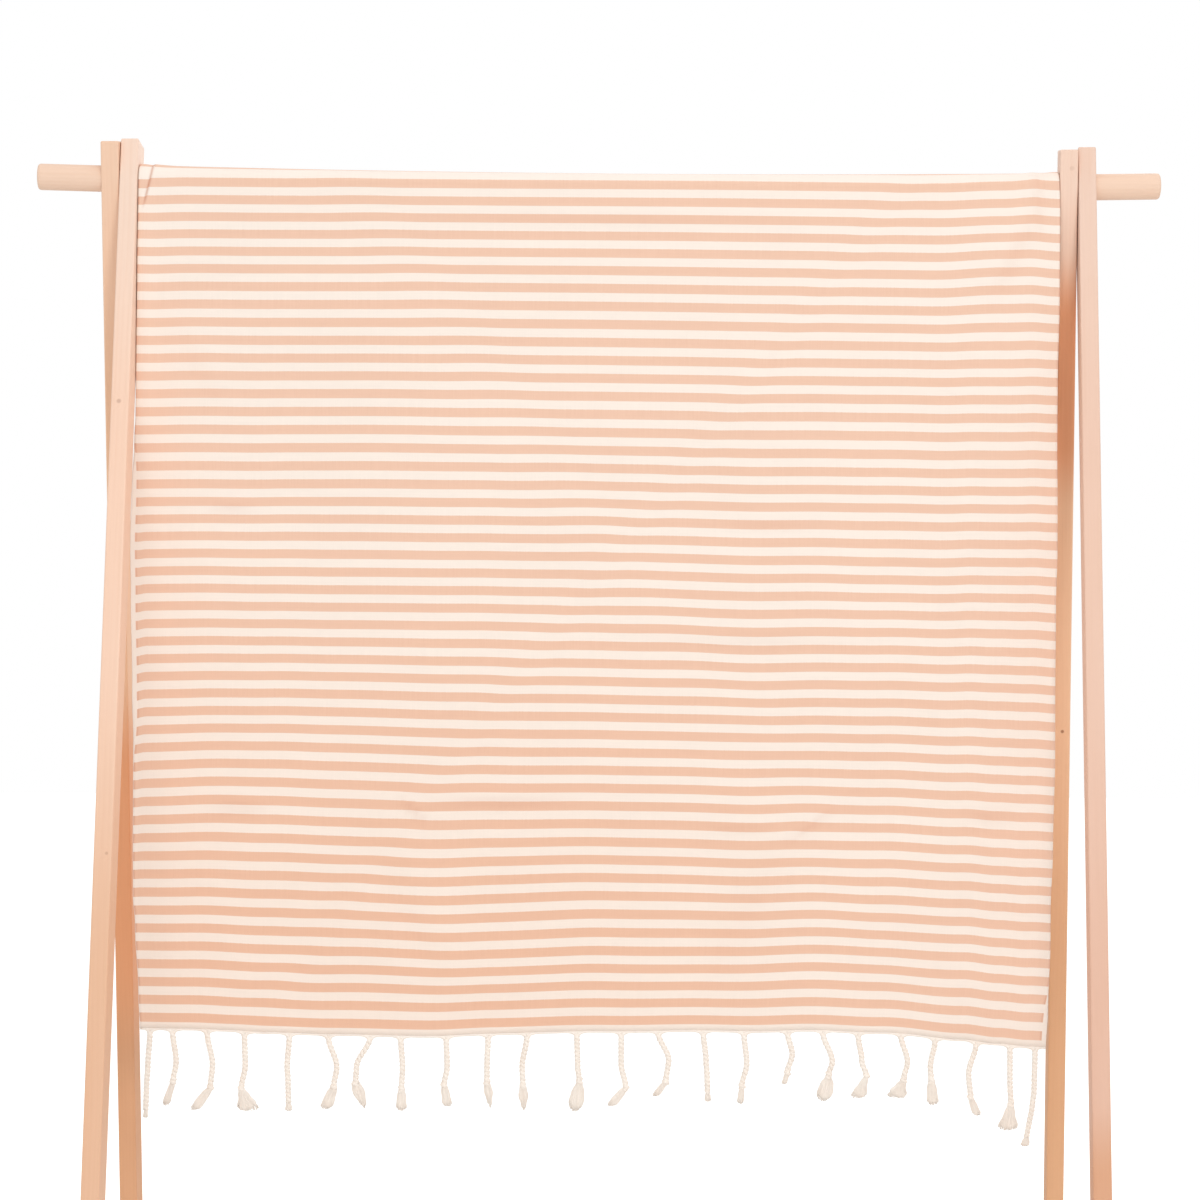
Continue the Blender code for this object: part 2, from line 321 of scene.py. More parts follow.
class NodeBench:
    """Makes the nodes of one material, or of the scene's surroundings."""

    # The Mix node's sockets for colours go by number, because their names repeat.
    mix_share, mix_first, mix_second, mix_colour = 0, 6, 7, 2

    def __init__(self, owner: Owner, shader: str) -> None:
        """Start with the nodes that a new owner has of its own.

        Args:
            owner: the material or the surroundings.
            shader: name of its shader's node.
        """
        owner.use_nodes = True
        self.owner = owner
        self.tree = owner.node_tree
        self.shader = self.tree.nodes[shader]

    @classmethod
    def material(cls, name: str) -> "NodeBench":
        """A bench for a new material."""
        return cls(bpy.data.materials.new(name), "Principled BSDF")

    def node(self, kind: str, settings: Settings = None, values: Inputs = None) -> bpy.types.Node:
        """Add a node.

        Args:
            kind: the node's type.
            settings: the node's own settings, which are made first.
            values: what each input gets, a wire or a fixed value, by name or number.

        Returns:
            The node.
        """
        node = self.tree.nodes.new(kind)
        for name, setting in (settings or {}).items():
            setattr(node, name, setting)
        for name, value in (values or {}).items():
            self.plug(node.inputs[name], value)
        return node

    def plug(self, socket: bpy.types.NodeSocket, value: object) -> None:
        """Link a wire to an input, or set its fixed value.

        Args:
            socket: the input.
            value: a wire, a colour, a vector or a number.
        """
        if isinstance(value, Wire):
            self.tree.links.new(value.socket, socket)
        elif socket.type == "RGBA":
            socket.default_value = (*value, 1.0)
        else:
            socket.default_value = value

    def out(
        self, kind: str, settings: Settings = None, values: Inputs = None, output: Union[str, int] = 0
    ) -> Wire:
        """Add a node and give one of its outputs."""
        return Wire(self, self.node(kind, settings, values).outputs[output])

    def math(self, operation: str, *values: Value) -> Wire:
        """A Math node on one or two values."""
        return self.out("ShaderNodeMath", {"operation": operation}, dict(enumerate(values)))

    def blend(self, share: Value, first: Tint, second: Tint, way: str = "MIX") -> Wire:
        """Mix two colours, the second by the given share.

        Args:
            share: 0 for the first colour alone, 1 for the second.
            first: the colour underneath.
            second: the colour on top.
            way: how the second acts on the first.

        Returns:
            The mixed colour.
        """
        settings = {"data_type": "RGBA", "blend_type": way, "clamp_factor": True}
        values = {self.mix_share: share, self.mix_first: first, self.mix_second: second}
        return self.out("ShaderNodeMix", settings, values, self.mix_colour)

    def tinted(self, colour: Tint, tint: Tint) -> Wire:
        """One colour multiplied by another."""
        return self.blend(1.0, colour, tint, "MULTIPLY")

    def toned(self, colour: Tint, tone: Wire) -> Wire:
        """A colour made darker or lighter by one number for red, green and blue."""
        grey = self.out("ShaderNodeCombineXYZ", None, {0: tone, 1: tone, 2: tone})
        return self.tinted(colour, grey)

    def noise(self, vector: Wire, scale: Triple, detail: float = 3.0, rough: float = 0.5) -> Wire:
        """Soft cloudy values about one half.

        Args:
            vector: places.
            scale: how many clouds there are to a metre along each axis.
            detail: how many times finer clouds are laid over the coarse ones.
            rough: how strong the finer ones are.

        Returns:
            The values.
        """
        scaled = self.out("ShaderNodeMapping", None, {"Vector": vector, "Scale": scale})
        values = {"Vector": scaled, "Scale": 1.0, "Detail": detail, "Roughness": rough}
        return self.out("ShaderNodeTexNoise", None, values)

    def parts(self, vector: Wire) -> tuple[Wire, Wire, Wire]:
        """The three numbers of a vector."""
        node = self.node("ShaderNodeSeparateXYZ", None, {0: vector})
        return tuple(Wire(self, output) for output in node.outputs)

    def pattern(self) -> Wire:
        """The piece's own UV map."""
        return self.out("ShaderNodeUVMap", {"uv_map": PATTERN_MAP})

    def place(self) -> Wire:
        """Object coordinates."""
        return self.out("ShaderNodeTexCoord", output="Object")

    def seen_directly(self) -> Wire:
        """1 where the eye sees a surface, 0 where light from it reaches another surface."""
        return self.out("ShaderNodeLightPath", output="Is Camera Ray")

    def bump(self, height: Wire, strength: float, distance: float) -> Wire:
        """A surface normal that follows a height."""
        values = {"Height": height, "Strength": strength, "Distance": distance}
        return self.out("ShaderNodeBump", None, values)

    def finish(self, **sockets: object) -> Owner:
        """Set the shader's inputs.

        Args:
            sockets: a wire or a fixed value for each input, named with underscores for spaces.

        Returns:
            The finished material or surroundings.
        """
        for name, value in sockets.items():
            self.plug(self.shader.inputs[name.replace("_", " ")], value)
        return self.owner


SCREEN_FULL = 255
SCREEN_KNEE = 0.04045
SCREEN_SLOPE = 12.92
SCREEN_LIFT = 0.055
SCREEN_POWER = 2.4


def paint(red: int, green: int, blue: int) -> Colour:
    """A colour as it shows on a screen, in the shader's own linear scale.

    Below the knee the linear share is the screen's share by the slope.  Above it, it is the
    power of the lifted share.

    Args:
        red: red part, from 0 to 255.
        green: green part.
        blue: blue part.

    Returns:
        The three linear shares.
    """
    shares = np.array([red, green, blue]) / SCREEN_FULL
    curved = ((shares + SCREEN_LIFT) / (1.0 + SCREEN_LIFT)) ** SCREEN_POWER
    return tuple(np.where(shares <= SCREEN_KNEE, shares / SCREEN_SLOPE, curved).tolist())


# ---------------------------------------------------------------------------------------------
# Finishes
# ---------------------------------------------------------------------------------------------

@dataclass(frozen=True)
class StripedCotton:
    """Flat weave in cream and apricot stripes, with cream selvedges and borders.

    A width, a pitch or a reach is a length on the cloth.  A tone, shade or relief is how strongly
    that feature acts on the colour, the darkness or the height of the surface.
    """

    length: float
    width: float
    back_starts: float
    pitch: float = 18.95 * MM
    coloured_share: float = 0.515
    border: float = 6.5 * MM
    selvedge: float = 5.2 * MM
    edge_blur: float = 0.5 * MM
    raggedness: float = 0.5 * MM
    warp_pitch: float = 1.10 * MM
    weft_pitch: float = 0.95 * MM
    pick_scale: Triple = (14.0, 1050.0, 1.0)
    warp_scale: Triple = (900.0, 16.0, 1.0)
    cloud_scale: Triple = (7.0, 11.0, 1.0)
    cloud_detail: float = 4.0
    cloud_rough: float = 0.6
    cream: Colour = paint(252, 239, 228)
    apricot: Colour = paint(240, 198, 173)
    cloudy_share: float = 0.35
    cloudy_cream: float = 0.965
    pale_threads: float = 0.10
    # Painted shade towards the front hem: both colours are multiplied by these tints, less at the
    # right.
    cream_hem_shade: Colour = (0.995, 0.96, 0.94)
    apricot_hem_shade: Colour = (0.985, 0.905, 0.845)
    hem_shade_height: float = 0.36
    hem_shade_weakens: float = 0.35
    right_hem_shade: float = 0.35
    tone: float = 0.97
    pick_tone: float = 0.05
    warp_tone: float = 0.04
    cloud_tone: float = 0.05
    weave_tone: float = 0.012
    stitch_starts: tuple[float, float] = (-0.4 * MM, 0.3 * MM)
    stitch_ends: tuple[float, float] = (1.0 * MM, 2.6 * MM)
    # Colour that the painted shade of the stitch groove, of creases and of the pleat darkens towards.
    shade: Colour = paint(206, 142, 112)
    painted_stitch_shade: float = 0.20
    crease_shade: float = 0.35
    rib_pitch: float = 1.3 * MM
    rib_fade: float = 0.6 * MM
    pick_relief: float = 1.2
    warp_relief: float = 0.9
    rib_relief: float = 0.6
    stitch_relief: float = 2.0
    bump_strength: float = 0.35
    bump_depth: float = 0.18 * MM
    roughness: float = 0.86
    pick_roughness: float = 0.08
    sheen: float = 0.18
    sheen_roughness: float = 0.6
    specular: float = 0.25

    def spare(self) -> float:
        """How much more pattern than cloth there is, if the cloth is to end on a coloured stripe.

        Returns:
            The length of whole pairs and one more coloured stripe, less that of the striped cloth.
        """
        striped = self.length - 2 * self.border
        pairs = round(striped / self.pitch - self.coloured_share) + self.coloured_share
        return pairs * self.pitch - striped

    def make(self) -> bpy.types.Material:
        """Make the material.

        A stripe's phase is the place along the cloth, made ragged by the warp's own noise, as a
        fraction of the pitch.  It is coloured up to its coloured share, except on the selvedges
        and borders.  Towards the front hem both colours take a painted shade, darker and warmer
        where less light falls, least at the right.

        Returns:
            A material that reads the UV map in metres and the painted crease shade of each point.
        """
        bench = NodeBench.material("striped_cotton")
        pattern = bench.pattern()
        across, along, _ = bench.parts(pattern)
        from_edge = 0.5 * self.width - (across - 0.5 * self.width).size()
        from_end = 0.5 * self.length - (along - 0.5 * self.length).size()
        picks = bench.noise(pattern, self.pick_scale)
        warps = bench.noise(pattern, self.warp_scale)
        clouds = bench.noise(pattern, self.cloud_scale, self.cloud_detail, self.cloud_rough)

        down_back = (along - self.back_starts) / (self.length - self.back_starts)
        spare = bench.math("MAXIMUM", down_back, 0.0) * self.spare()
        ragged = along + spare + (warps - 0.5) * self.raggedness
        phase = ((ragged - self.border) / self.pitch).fraction()
        blur = self.edge_blur / self.pitch
        stripe = phase.eased(0.0, blur)
        stripe = stripe * (1 - phase.eased(self.coloured_share, self.coloured_share + blur))
        inside = from_end.eased(self.border - self.edge_blur, self.border)
        inside = inside * from_edge.eased(self.selvedge - self.edge_blur, self.selvedge)
        stripe = stripe * inside

        # Painted shade: darker and warmer towards the front hem, where less light falls, weaker
        # towards the right.
        to_right = across.eased(self.hem_shade_weakens * self.width, self.width)
        hem_shade = 1 - along.eased(0.0, self.hem_shade_height * self.length)
        hem_shade = hem_shade * (1 - (1 - self.right_hem_shade) * to_right)
        cloudy = tuple(self.cloudy_cream * part for part in self.cream)
        cream = bench.blend(self.cloudy_share * clouds, self.cream, cloudy)
        cream = bench.blend(hem_shade, cream, bench.tinted(cream, self.cream_hem_shade))
        apricot = bench.blend(self.pale_threads * warps, self.apricot, self.cream)
        apricot = bench.blend(hem_shade, apricot, bench.tinted(apricot, self.apricot_hem_shade))
        colour = bench.blend(stripe, cream, apricot)

        weave = across.wave(self.warp_pitch) * along.wave(self.weft_pitch)
        tone = self.tone + self.pick_tone * picks + self.warp_tone * (warps - 0.5)
        tone = tone + self.cloud_tone * (clouds - 0.5) + self.weave_tone * weave
        colour = bench.toned(colour, tone)

        # The stitch groove beside each selvedge: a real dip in the height, and painted shade along it
        # on the coloured stripes.
        stitch = from_edge.eased(*(self.selvedge + edge for edge in self.stitch_starts))
        stitch = stitch * (1 - from_edge.eased(*(self.selvedge + edge for edge in self.stitch_ends)))
        # Painted shade: darkens the colour in the stitch groove, and where the cloth's points hold
        # crease and pleat shade.
        crease = bench.out("ShaderNodeAttribute", {"attribute_name": PAINTED_CREASE_SHADE}, output="Fac")
        deep = self.painted_stitch_shade * stitch * stripe + self.crease_shade * crease
        colour = bench.blend(deep, colour, bench.tinted(colour, self.shade))

        rib = from_edge.wave(self.rib_pitch)
        rib = rib * (1 - from_edge.eased(self.selvedge - self.rib_fade, self.selvedge))
        height = weave + self.pick_relief * picks + self.warp_relief * warps
        height = height + self.rib_relief * rib - self.stitch_relief * stitch
        return bench.finish(
            Base_Color=colour,
            Roughness=self.roughness + self.pick_roughness * picks,
            Normal=bench.bump(height, self.bump_strength, self.bump_depth),
            Sheen_Weight=self.sheen,
            Sheen_Roughness=self.sheen_roughness,
            Specular_IOR_Level=self.specular,
        )


@dataclass(frozen=True)
class FringeCotton:
    """Undyed cotton threads, twisted into plies or loose."""

    base: Colour = paint(255, 247, 238)
    # Colour of darker patches, and of the painted shade in the hollows between strands.
    dark: Colour = paint(234, 211, 194)
    strand_slant: float = 5.0
    strand_pitch: float = 1.5 * MM
    fluff_scale: Triple = (1800.0, 1800.0, 630.0)
    fluff_detail: float = 2.0
    patch_scale: Triple = (55.0, 55.0, 55.0)
    patch_rough: float = 0.6
    patch_middle: float = 0.42
    painted_strand_shade: float = 0.32
    patch_shade: float = 0.55
    fluff_shade: float = 0.30
    full_shade: float = 0.9
    fluff_relief: float = 0.8
    bump_strength: float = 0.5
    bump_depth: float = 0.25 * MM
    roughness: float = 0.92
    sheen: float = 0.25
    sheen_roughness: float = 0.6
    specular: float = 0.2

    def make(self) -> bpy.types.Material:
        """Make the material.

        A strand is half of one more than the sine of its turn, which grows by the slant round
        the tube and by one for each strand pitch along it.

        Returns:
            A material that reads a tube's own pattern, with painted shade in the hollows between
            strands and darker patches.
        """
        bench = NodeBench.material("fringe_threads")
        around, along, _ = bench.parts(bench.pattern())
        place = bench.place()
        turns = around * self.strand_slant + along / self.strand_pitch
        strand = 0.5 + 0.5 * turns.wave(1.0)
        fluff = bench.noise(place, self.fluff_scale, self.fluff_detail)
        patches = bench.noise(place, self.patch_scale, rough=self.patch_rough)
        # Painted shade in the hollows between strands, with darker patches and fluff.
        share = self.painted_strand_shade * (1 - strand) + self.patch_shade * (patches - self.patch_middle)
        share = share + self.fluff_shade * (fluff - 0.5)
        height = strand + self.fluff_relief * fluff
        return bench.finish(
            Base_Color=bench.blend(share.eased(0.0, self.full_shade), self.base, self.dark),
            Roughness=self.roughness,
            Normal=bench.bump(height, self.bump_strength, self.bump_depth),
            Sheen_Weight=self.sheen,
            Sheen_Roughness=self.sheen_roughness,
            Specular_IOR_Level=self.specular,
        )


class Knot(NamedTuple):
    """A knot in a batten: its place in the batten's own axes, its radius and how dark it is."""

    x: float
    y: float
    z: float
    radius: float
    depth: float


class Stretch(NamedTuple):
    """A darker stretch along a batten: its middle along the batten, its reach both ways, its colour.
    """

    z: float
    reach: float
    colour: Colour


@dataclass(frozen=True)
class PaleWood:
    """Planed softwood with growth rings about a pith that runs along the piece's own Z.

    The colours blend from the foot's to the middle's and on to the top's between the two heights
    of each blend, which are measured along the piece's own Z from its centre.
    """

    name: str
    centre: Triple
    turn: Triple
    top: Colour
    middle: Colour
    foot: Colour
    pith: tuple[float, float]
    knots: tuple[Knot, ...] = ()
    stretches: tuple[Stretch, ...] = ()
    band: Colour = (0.945, 0.89, 0.84)
    knot_colour: Colour = paint(150, 92, 62)
    top_blend: tuple[float, float] = (-0.30, 0.0)
    foot_blend: tuple[float, float] = (-0.87, -0.48)
    ring_pitch: float = 3.4 * MM
    ring_waver: float = 26.0 * MM
    late_starts: tuple[float, float] = (0.25, 0.86)
    late_ends: tuple[float, float] = (0.88, 1.0)
    slow_scale: Triple = (9.0, 9.0, 1.6)
    fibre_scale: Triple = (1100.0, 1100.0, 14.0)
    streak_scale: Triple = (210.0, 210.0, 3.0)
    cloud_scale: Triple = (14.0, 14.0, 3.5)
    fine_rough: float = 0.6
    knot_rim: tuple[float, float] = (0.35, 1.0)
    knot_reach: float = 4.0
    knot_bend: float = 1.4
    stretch_waver: float = 0.5
    stretch_rim: tuple[float, float] = (0.45, 1.0)
    late_band: float = 0.12
    streak_band: float = 0.45
    cloud_band: float = 0.6
    band_range: tuple[float, float] = (-0.30, 0.60)
    tone: float = 0.975
    fibre_tone: float = 0.06
    fibre_middle: float = 0.35
    fibre_relief: float = 0.6
    late_relief: float = 0.35
    streak_relief: float = 0.4
    knot_relief: float = 0.8
    bump_strength: float = 0.30
    bump_depth: float = 0.25 * MM
    roughness: float = 0.50
    fibre_roughness: float = 0.18
    late_gloss: float = 0.06
    specular: float = 0.35

    def make(self) -> bpy.types.Material:
        """Make the material.

        Object coordinates are first turned into the piece's own axes.  A ring's number is the
        distance from the pith, wavered by slow noise and bent outwards round each knot, divided
        by the ring pitch.

        Returns:
            The material.
        """
        bench = NodeBench.material(self.name)
        values = {"Vector": bench.place(), "Location": self.centre, "Rotation": self.turn}
        local = bench.out("ShaderNodeMapping", {"vector_type": "TEXTURE"}, values)
        x, y, z = bench.parts(local)
        slow = bench.noise(local, self.slow_scale)
        scales = (self.fibre_scale, self.streak_scale, self.cloud_scale)
        fibres, streaks, clouds = (
            bench.noise(local, scale, rough=self.fine_rough) for scale in scales
        )

        from_x, from_y = x - self.pith[0], y - self.pith[1]
        radius = (from_x * from_x + from_y * from_y).root() + (slow - 0.5) * self.ring_waver
        knots = []
        for spot in self.knots:
            dx, dy, dz = x - spot.x, y - spot.y, z - spot.z
            away = (dx * dx + dy * dy + dz * dz).root() / spot.radius
            knots.append(spot.depth * (1 - away.eased(*self.knot_rim)))
            bend = self.knot_bend * self.ring_pitch
            radius = radius + (1 - away.eased(0.0, self.knot_reach)) * bend
        ring = (radius / self.ring_pitch).fraction()
        late = ring.eased(*self.late_starts) * (1 - ring.eased(*self.late_ends))

        colour = bench.blend(z.eased(*self.top_blend), self.middle, self.top)
        colour = bench.blend(z.eased(*self.foot_blend), self.foot, colour)
        # Darker stretches along the batten; on the back battens these are partly painted shade.
        for stretch in self.stretches:
            away = (z - stretch.z) / stretch.reach + self.stretch_waver * (slow - 0.5)
            colour = bench.blend(1 - away.size().eased(*self.stretch_rim), colour, stretch.colour)
        share = self.late_band * late * (0.5 + streaks) + self.streak_band * (streaks - 0.5)
        share = share + self.cloud_band * (clouds - 0.5)
        colour = bench.blend(share.eased(*self.band_range), colour, bench.tinted(colour, self.band))
        colour = bench.toned(colour, self.tone + self.fibre_tone * (fibres - self.fibre_middle))
        height = self.fibre_relief * fibres + self.late_relief * late + self.streak_relief * streaks
        for knot in knots:
            colour = bench.blend(knot, colour, self.knot_colour)
            height = height - self.knot_relief * knot
        return bench.finish(
            Base_Color=colour,
            Roughness=self.roughness + self.fibre_roughness * fibres - self.late_gloss * late,
            Normal=bench.bump(height, self.bump_strength, self.bump_depth),
            Specular_IOR_Level=self.specular,
        )


# ---------------------------------------------------------------------------------------------
# Towel
# ---------------------------------------------------------------------------------------------

class Edge(NamedTuple):
    """Where the selvedges show: drop below the rod's axis, and both edges along X."""

    drop: float
    left: float
    right: float


class Roll(NamedTuple):
    """How a selvedge turns inwards: drop (below zero over the rod and down the back), width of
    cloth that is turned in, and radius of the turn."""

    drop: float
    tucked: float
    radius: float


class Curl(NamedTuple):
    """How far a selvedge curls towards the viewer: drop, and how far forward."""

    drop: float
    forward: float


class Level(NamedTuple):
    """A height along X: place, and a drop or a lift there."""

    place: float
    value: float


class Fold(NamedTuple):
    """A soft upright fold: place along X, and how far the hem stands forward there."""

    place: float
    forward: float


class Pull(NamedTuple):
    """Where the stripes are drawn up or sag: place along X, share of the front panel's drop,
    half its width and half its height (as a share), and the lift."""

    place: float
    level: float
    wide: float
    high: float
    lift: float


class Crease(NamedTuple):
    """A soft ridge (or a trough, with a height below zero): its middle along X and below the
    rod's axis, angle in degrees from level, length, half width, height towards the viewer, how
    far the stripes step across it, and how dark the painted shade on its lower side is."""

    place: float
    drop: float
    angle: float
    length: float
    width: float
    height: float
    step: float
    shade: float


FRONT_EDGES = (
    Edge(0.000, -0.4915, 0.4896),
    Edge(0.035, -0.4915, 0.4901),
    Edge(0.120, -0.4915, 0.4901),
    Edge(0.220, -0.4916, 0.4880),
    Edge(0.250, -0.4918, 0.4877),
    Edge(0.284, -0.4931, 0.4875),
    Edge(0.330, -0.4957, 0.4879),
    Edge(0.390, -0.4970, 0.4878),
    Edge(0.445, -0.4957, 0.4862),
    Edge(0.550, -0.4933, 0.4853),
    Edge(0.600, -0.4914, 0.4852),
    Edge(0.700, -0.4910, 0.4828),
    Edge(0.765, -0.4903, 0.4802),
    Edge(0.795, -0.4878, 0.4799),
    Edge(0.870, -0.4835, 0.4770),
    Edge(0.906, -0.4817, 0.4750),
)
BACK_EDGES = (
    Edge(0.00, -0.4885, 0.4903),
    Edge(0.35, -0.4885, 0.4850),
    Edge(0.60, -0.4850, 0.4790),
    Edge(0.83, -0.4780, 0.4720),
)
LEFT_ROLLS = (
    Roll(-0.25, 0.0, 1.2 * MM),
    Roll(-0.09, 6.0 * MM, 0.65 * MM),
    Roll(0.26, 8.0 * MM, 0.65 * MM),
    Roll(0.33, 1.2 * MM, 1.2 * MM),
    Roll(0.40, 0.0, 1.2 * MM),
    Roll(0.55, 0.6 * MM, 1.2 * MM),
    Roll(0.64, 7.0 * MM, 2.0 * MM),
)
RIGHT_ROLLS = (
    Roll(-0.25, 0.0, 1.2 * MM),
    Roll(-0.09, 6.0 * MM, 0.8 * MM),
    Roll(0.04, 8.0 * MM, 0.8 * MM),
    Roll(0.20, 10.0 * MM, 2.5 * MM),
    Roll(0.35, 11.0 * MM, 3.6 * MM),
    Roll(0.72, 11.0 * MM, 3.6 * MM),
    Roll(0.83, 8.0 * MM, 2.0 * MM),
    Roll(0.893, 0.0, 1.2 * MM),
)
LEFT_CURLS = (
    Curl(0.01, 0.0),
    Curl(0.10, 4.5 * MM),
    Curl(0.20, 4.5 * MM),
    Curl(0.34, 0.0),
)
TOP_LIFTS = (
    Level(-0.490, -2.2 * MM),
    Level(-0.440, -1.0 * MM),
    Level(-0.360, -1.2 * MM),
    Level(-0.150, -0.8 * MM),
    Level(0.150, 0.4 * MM),
    Level(0.360, -0.2 * MM),
    Level(0.430, 2.4 * MM),
    Level(0.463, 4.5 * MM),
    Level(0.490, 2.6 * MM),
)
HEM_DROPS = (
    Level(-0.490, 0.9026),
    Level(-0.430, 0.9030),
    Level(-0.350, 0.9070),
    Level(-0.280, 0.9090),
    Level(-0.180, 0.9098),
    Level(-0.110, 0.9075),
    Level(0.010, 0.9046),
    Level(0.100, 0.9032),
    Level(0.160, 0.9040),
    Level(0.226, 0.9022),
    Level(0.300, 0.9050),
    Level(0.387, 0.9117),
    Level(0.425, 0.9163),
    Level(0.456, 0.9192),
    Level(0.490, 0.9211),
)
FRONT_FOLDS = (
    Fold(-0.490, 0.001),
    Fold(-0.410, 0.005),
    Fold(-0.300, -0.001),
    Fold(-0.190, 0.006),
    Fold(-0.070, -0.004),
    Fold(0.040, 0.003),
    Fold(0.130, -0.003),
    Fold(0.250, 0.004),
    Fold(0.350, -0.002),
    Fold(0.440, 0.006),
    Fold(0.490, 0.004),
)
BACK_FOLDS = (
    Fold(-0.490, 0.000),
    Fold(-0.330, -0.005),
    Fold(-0.130, 0.003),
    Fold(0.080, -0.004),
    Fold(0.290, 0.003),
    Fold(0.490, -0.002),
)
PULLS = (
    Pull(0.00, 0.10, 0.70, 0.07, 1.9 * MM),
    Pull(-0.20, 0.17, 0.25, 0.13, 2.8 * MM),
    Pull(0.43, 0.12, 0.05, 0.07, 2.5 * MM),
    Pull(0.42, 0.25, 0.12, 0.05, 1.3 * MM),
    Pull(-0.25, 0.29, 0.14, 0.08, 1.7 * MM),
    Pull(0.25, 0.33, 0.30, 0.06, -1.3 * MM),
    Pull(-0.43, 0.38, 0.10, 0.07, -2.0 * MM),
    Pull(-0.33, 0.42, 0.14, 0.05, 1.3 * MM),
    Pull(-0.15, 0.53, 0.10, 0.13, 1.7 * MM),
    Pull(0.20, 0.55, 0.15, 0.30, -4.5 * MM),
    Pull(0.43, 0.58, 0.05, 0.13, 1.1 * MM),
    Pull(0.32, 0.46, 0.07, 0.07, -1.6 * MM),
    Pull(0.12, 0.57, 0.10, 0.12, -0.9 * MM),
    Pull(-0.43, 0.60, 0.05, 0.12, -0.9 * MM),
    Pull(-0.31, 0.93, 0.04, 0.05, -1.4 * MM),
    Pull(-0.05, 0.90, 0.04, 0.06, -1.2 * MM),
    Pull(0.33, 0.87, 0.04, 0.07, -1.0 * MM),
    Pull(-0.22, 0.36, 0.15, 0.15, 0.7 * MM),
    Pull(0.22, 0.27, 0.12, 0.06, 0.7 * MM),
    Pull(0.489, 0.25, 0.012, 0.25, 1.0 * MM),
    Pull(-0.4895, 0.60, 0.006, 0.19, -2.2 * MM),
    Pull(-0.31, 0.65, 0.17, 0.17, 6.5 * MM),
    Pull(-0.38, 0.72, 0.06, 0.06, 1.4 * MM),
    Pull(0.13, 0.81, 0.09, 0.07, -2.4 * MM),
    Pull(0.34, 0.80, 0.18, 0.15, -2.0 * MM),
    Pull(-0.46, 0.83, 0.05, 0.15, -1.1 * MM),
    Pull(0.03, 0.91, 0.09, 0.05, -1.6 * MM),
    Pull(-0.19, 0.82, 0.09, 0.07, -2.3 * MM),
    Pull(-0.13, 0.90, 0.07, 0.07, -4.0 * MM),
    Pull(0.11, 0.92, 0.08, 0.06, -2.5 * MM),
)
# Last column: how dark the painted shade on a crease's lower side is.
CREASES = (
    Crease(-0.103, 0.659, 0.0, 0.21, 6.0 * MM, 1.6 * MM, 0.0, 0.35),
    Crease(-0.380, 0.669, 0.0, 0.09, 8.0 * MM, 1.2 * MM, 0.0, 0.25),
    Crease(0.413, 0.662, 5.0, 0.07, 10.0 * MM, 1.5 * MM, 0.0, 0.2),
    Crease(0.151, 0.685, 0.0, 0.09, 4.0 * MM, 1.0 * MM, 0.0, 0.3),
    Crease(-0.389, 0.350, 0.0, 0.07, 4.0 * MM, 1.4 * MM, 0.0, 0.4),
    Crease(0.178, 0.360, 0.0, 0.12, 6.0 * MM, 1.0 * MM, 0.0, 0.2),
    Crease(0.162, 0.483, 0.0, 0.36, 7.0 * MM, 1.0 * MM, 0.0, 0.15),
    Crease(0.018, 0.036, 0.0, 0.48, 10.0 * MM, 1.0 * MM, 0.0, 0.15),
    Crease(-0.421, 0.195, -63.0, 0.14, 12.0 * MM, 1.5 * MM, 0.0, 0.1),
    Crease(-0.204, 0.781, -63.0, 0.20, 14.0 * MM, -3.0 * MM, 0.0, 0.08),
    Crease(-0.129, 0.872, 0.0, 0.18, 14.0 * MM, -2.0 * MM, 0.0, 0.12),
    Crease(0.141, 0.786, 60.0, 0.25, 15.0 * MM, -2.8 * MM, 0.0, 0.08),
    Crease(0.435, 0.078, 66.0, 0.14, 10.0 * MM, 2.2 * MM, 0.0, 0.2),
    Crease(0.224, 0.683, 36.0, 0.09, 4.0 * MM, 1.5 * MM, 1.5 * MM, 0.3),
    Crease(-0.194, 0.670, -38.0, 0.05, 4.0 * MM, 1.5 * MM, -1.5 * MM, 0.5),
    Crease(0.463, 0.020, 90.0, 0.13, 7.0 * MM, 1.8 * MM, 0.0, 0.2),
)


@dataclass(frozen=True)
class Rod:
    """The dowel as the cloth feels it: its radius, its height, and how far its middle bows."""

    radius: float = 14.0 * MM
    height: float = 1.460
    bow: float = 5.0 * MM
    half_span: float = 0.511

    def sag(self, x: np.ndarray) -> np.ndarray:
        """How far the axis lies below its height at the A-frames: a parabola along X."""
        return self.bow * (1.0 - np.square(x / self.half_span))

    def axis(self, x: np.ndarray) -> np.ndarray:
        """Height of the axis above the floor."""
        return self.height - self.sag(x)


class TurnedEdge(NamedTuple):
    """A selvedge's turn: width of cloth turned in, how far the turn reaches past its start, and
    each point's own reach past the start and depth inwards."""

    tucked: np.ndarray
    reach: np.ndarray
    outwards: np.ndarray
    inwards: np.ndarray


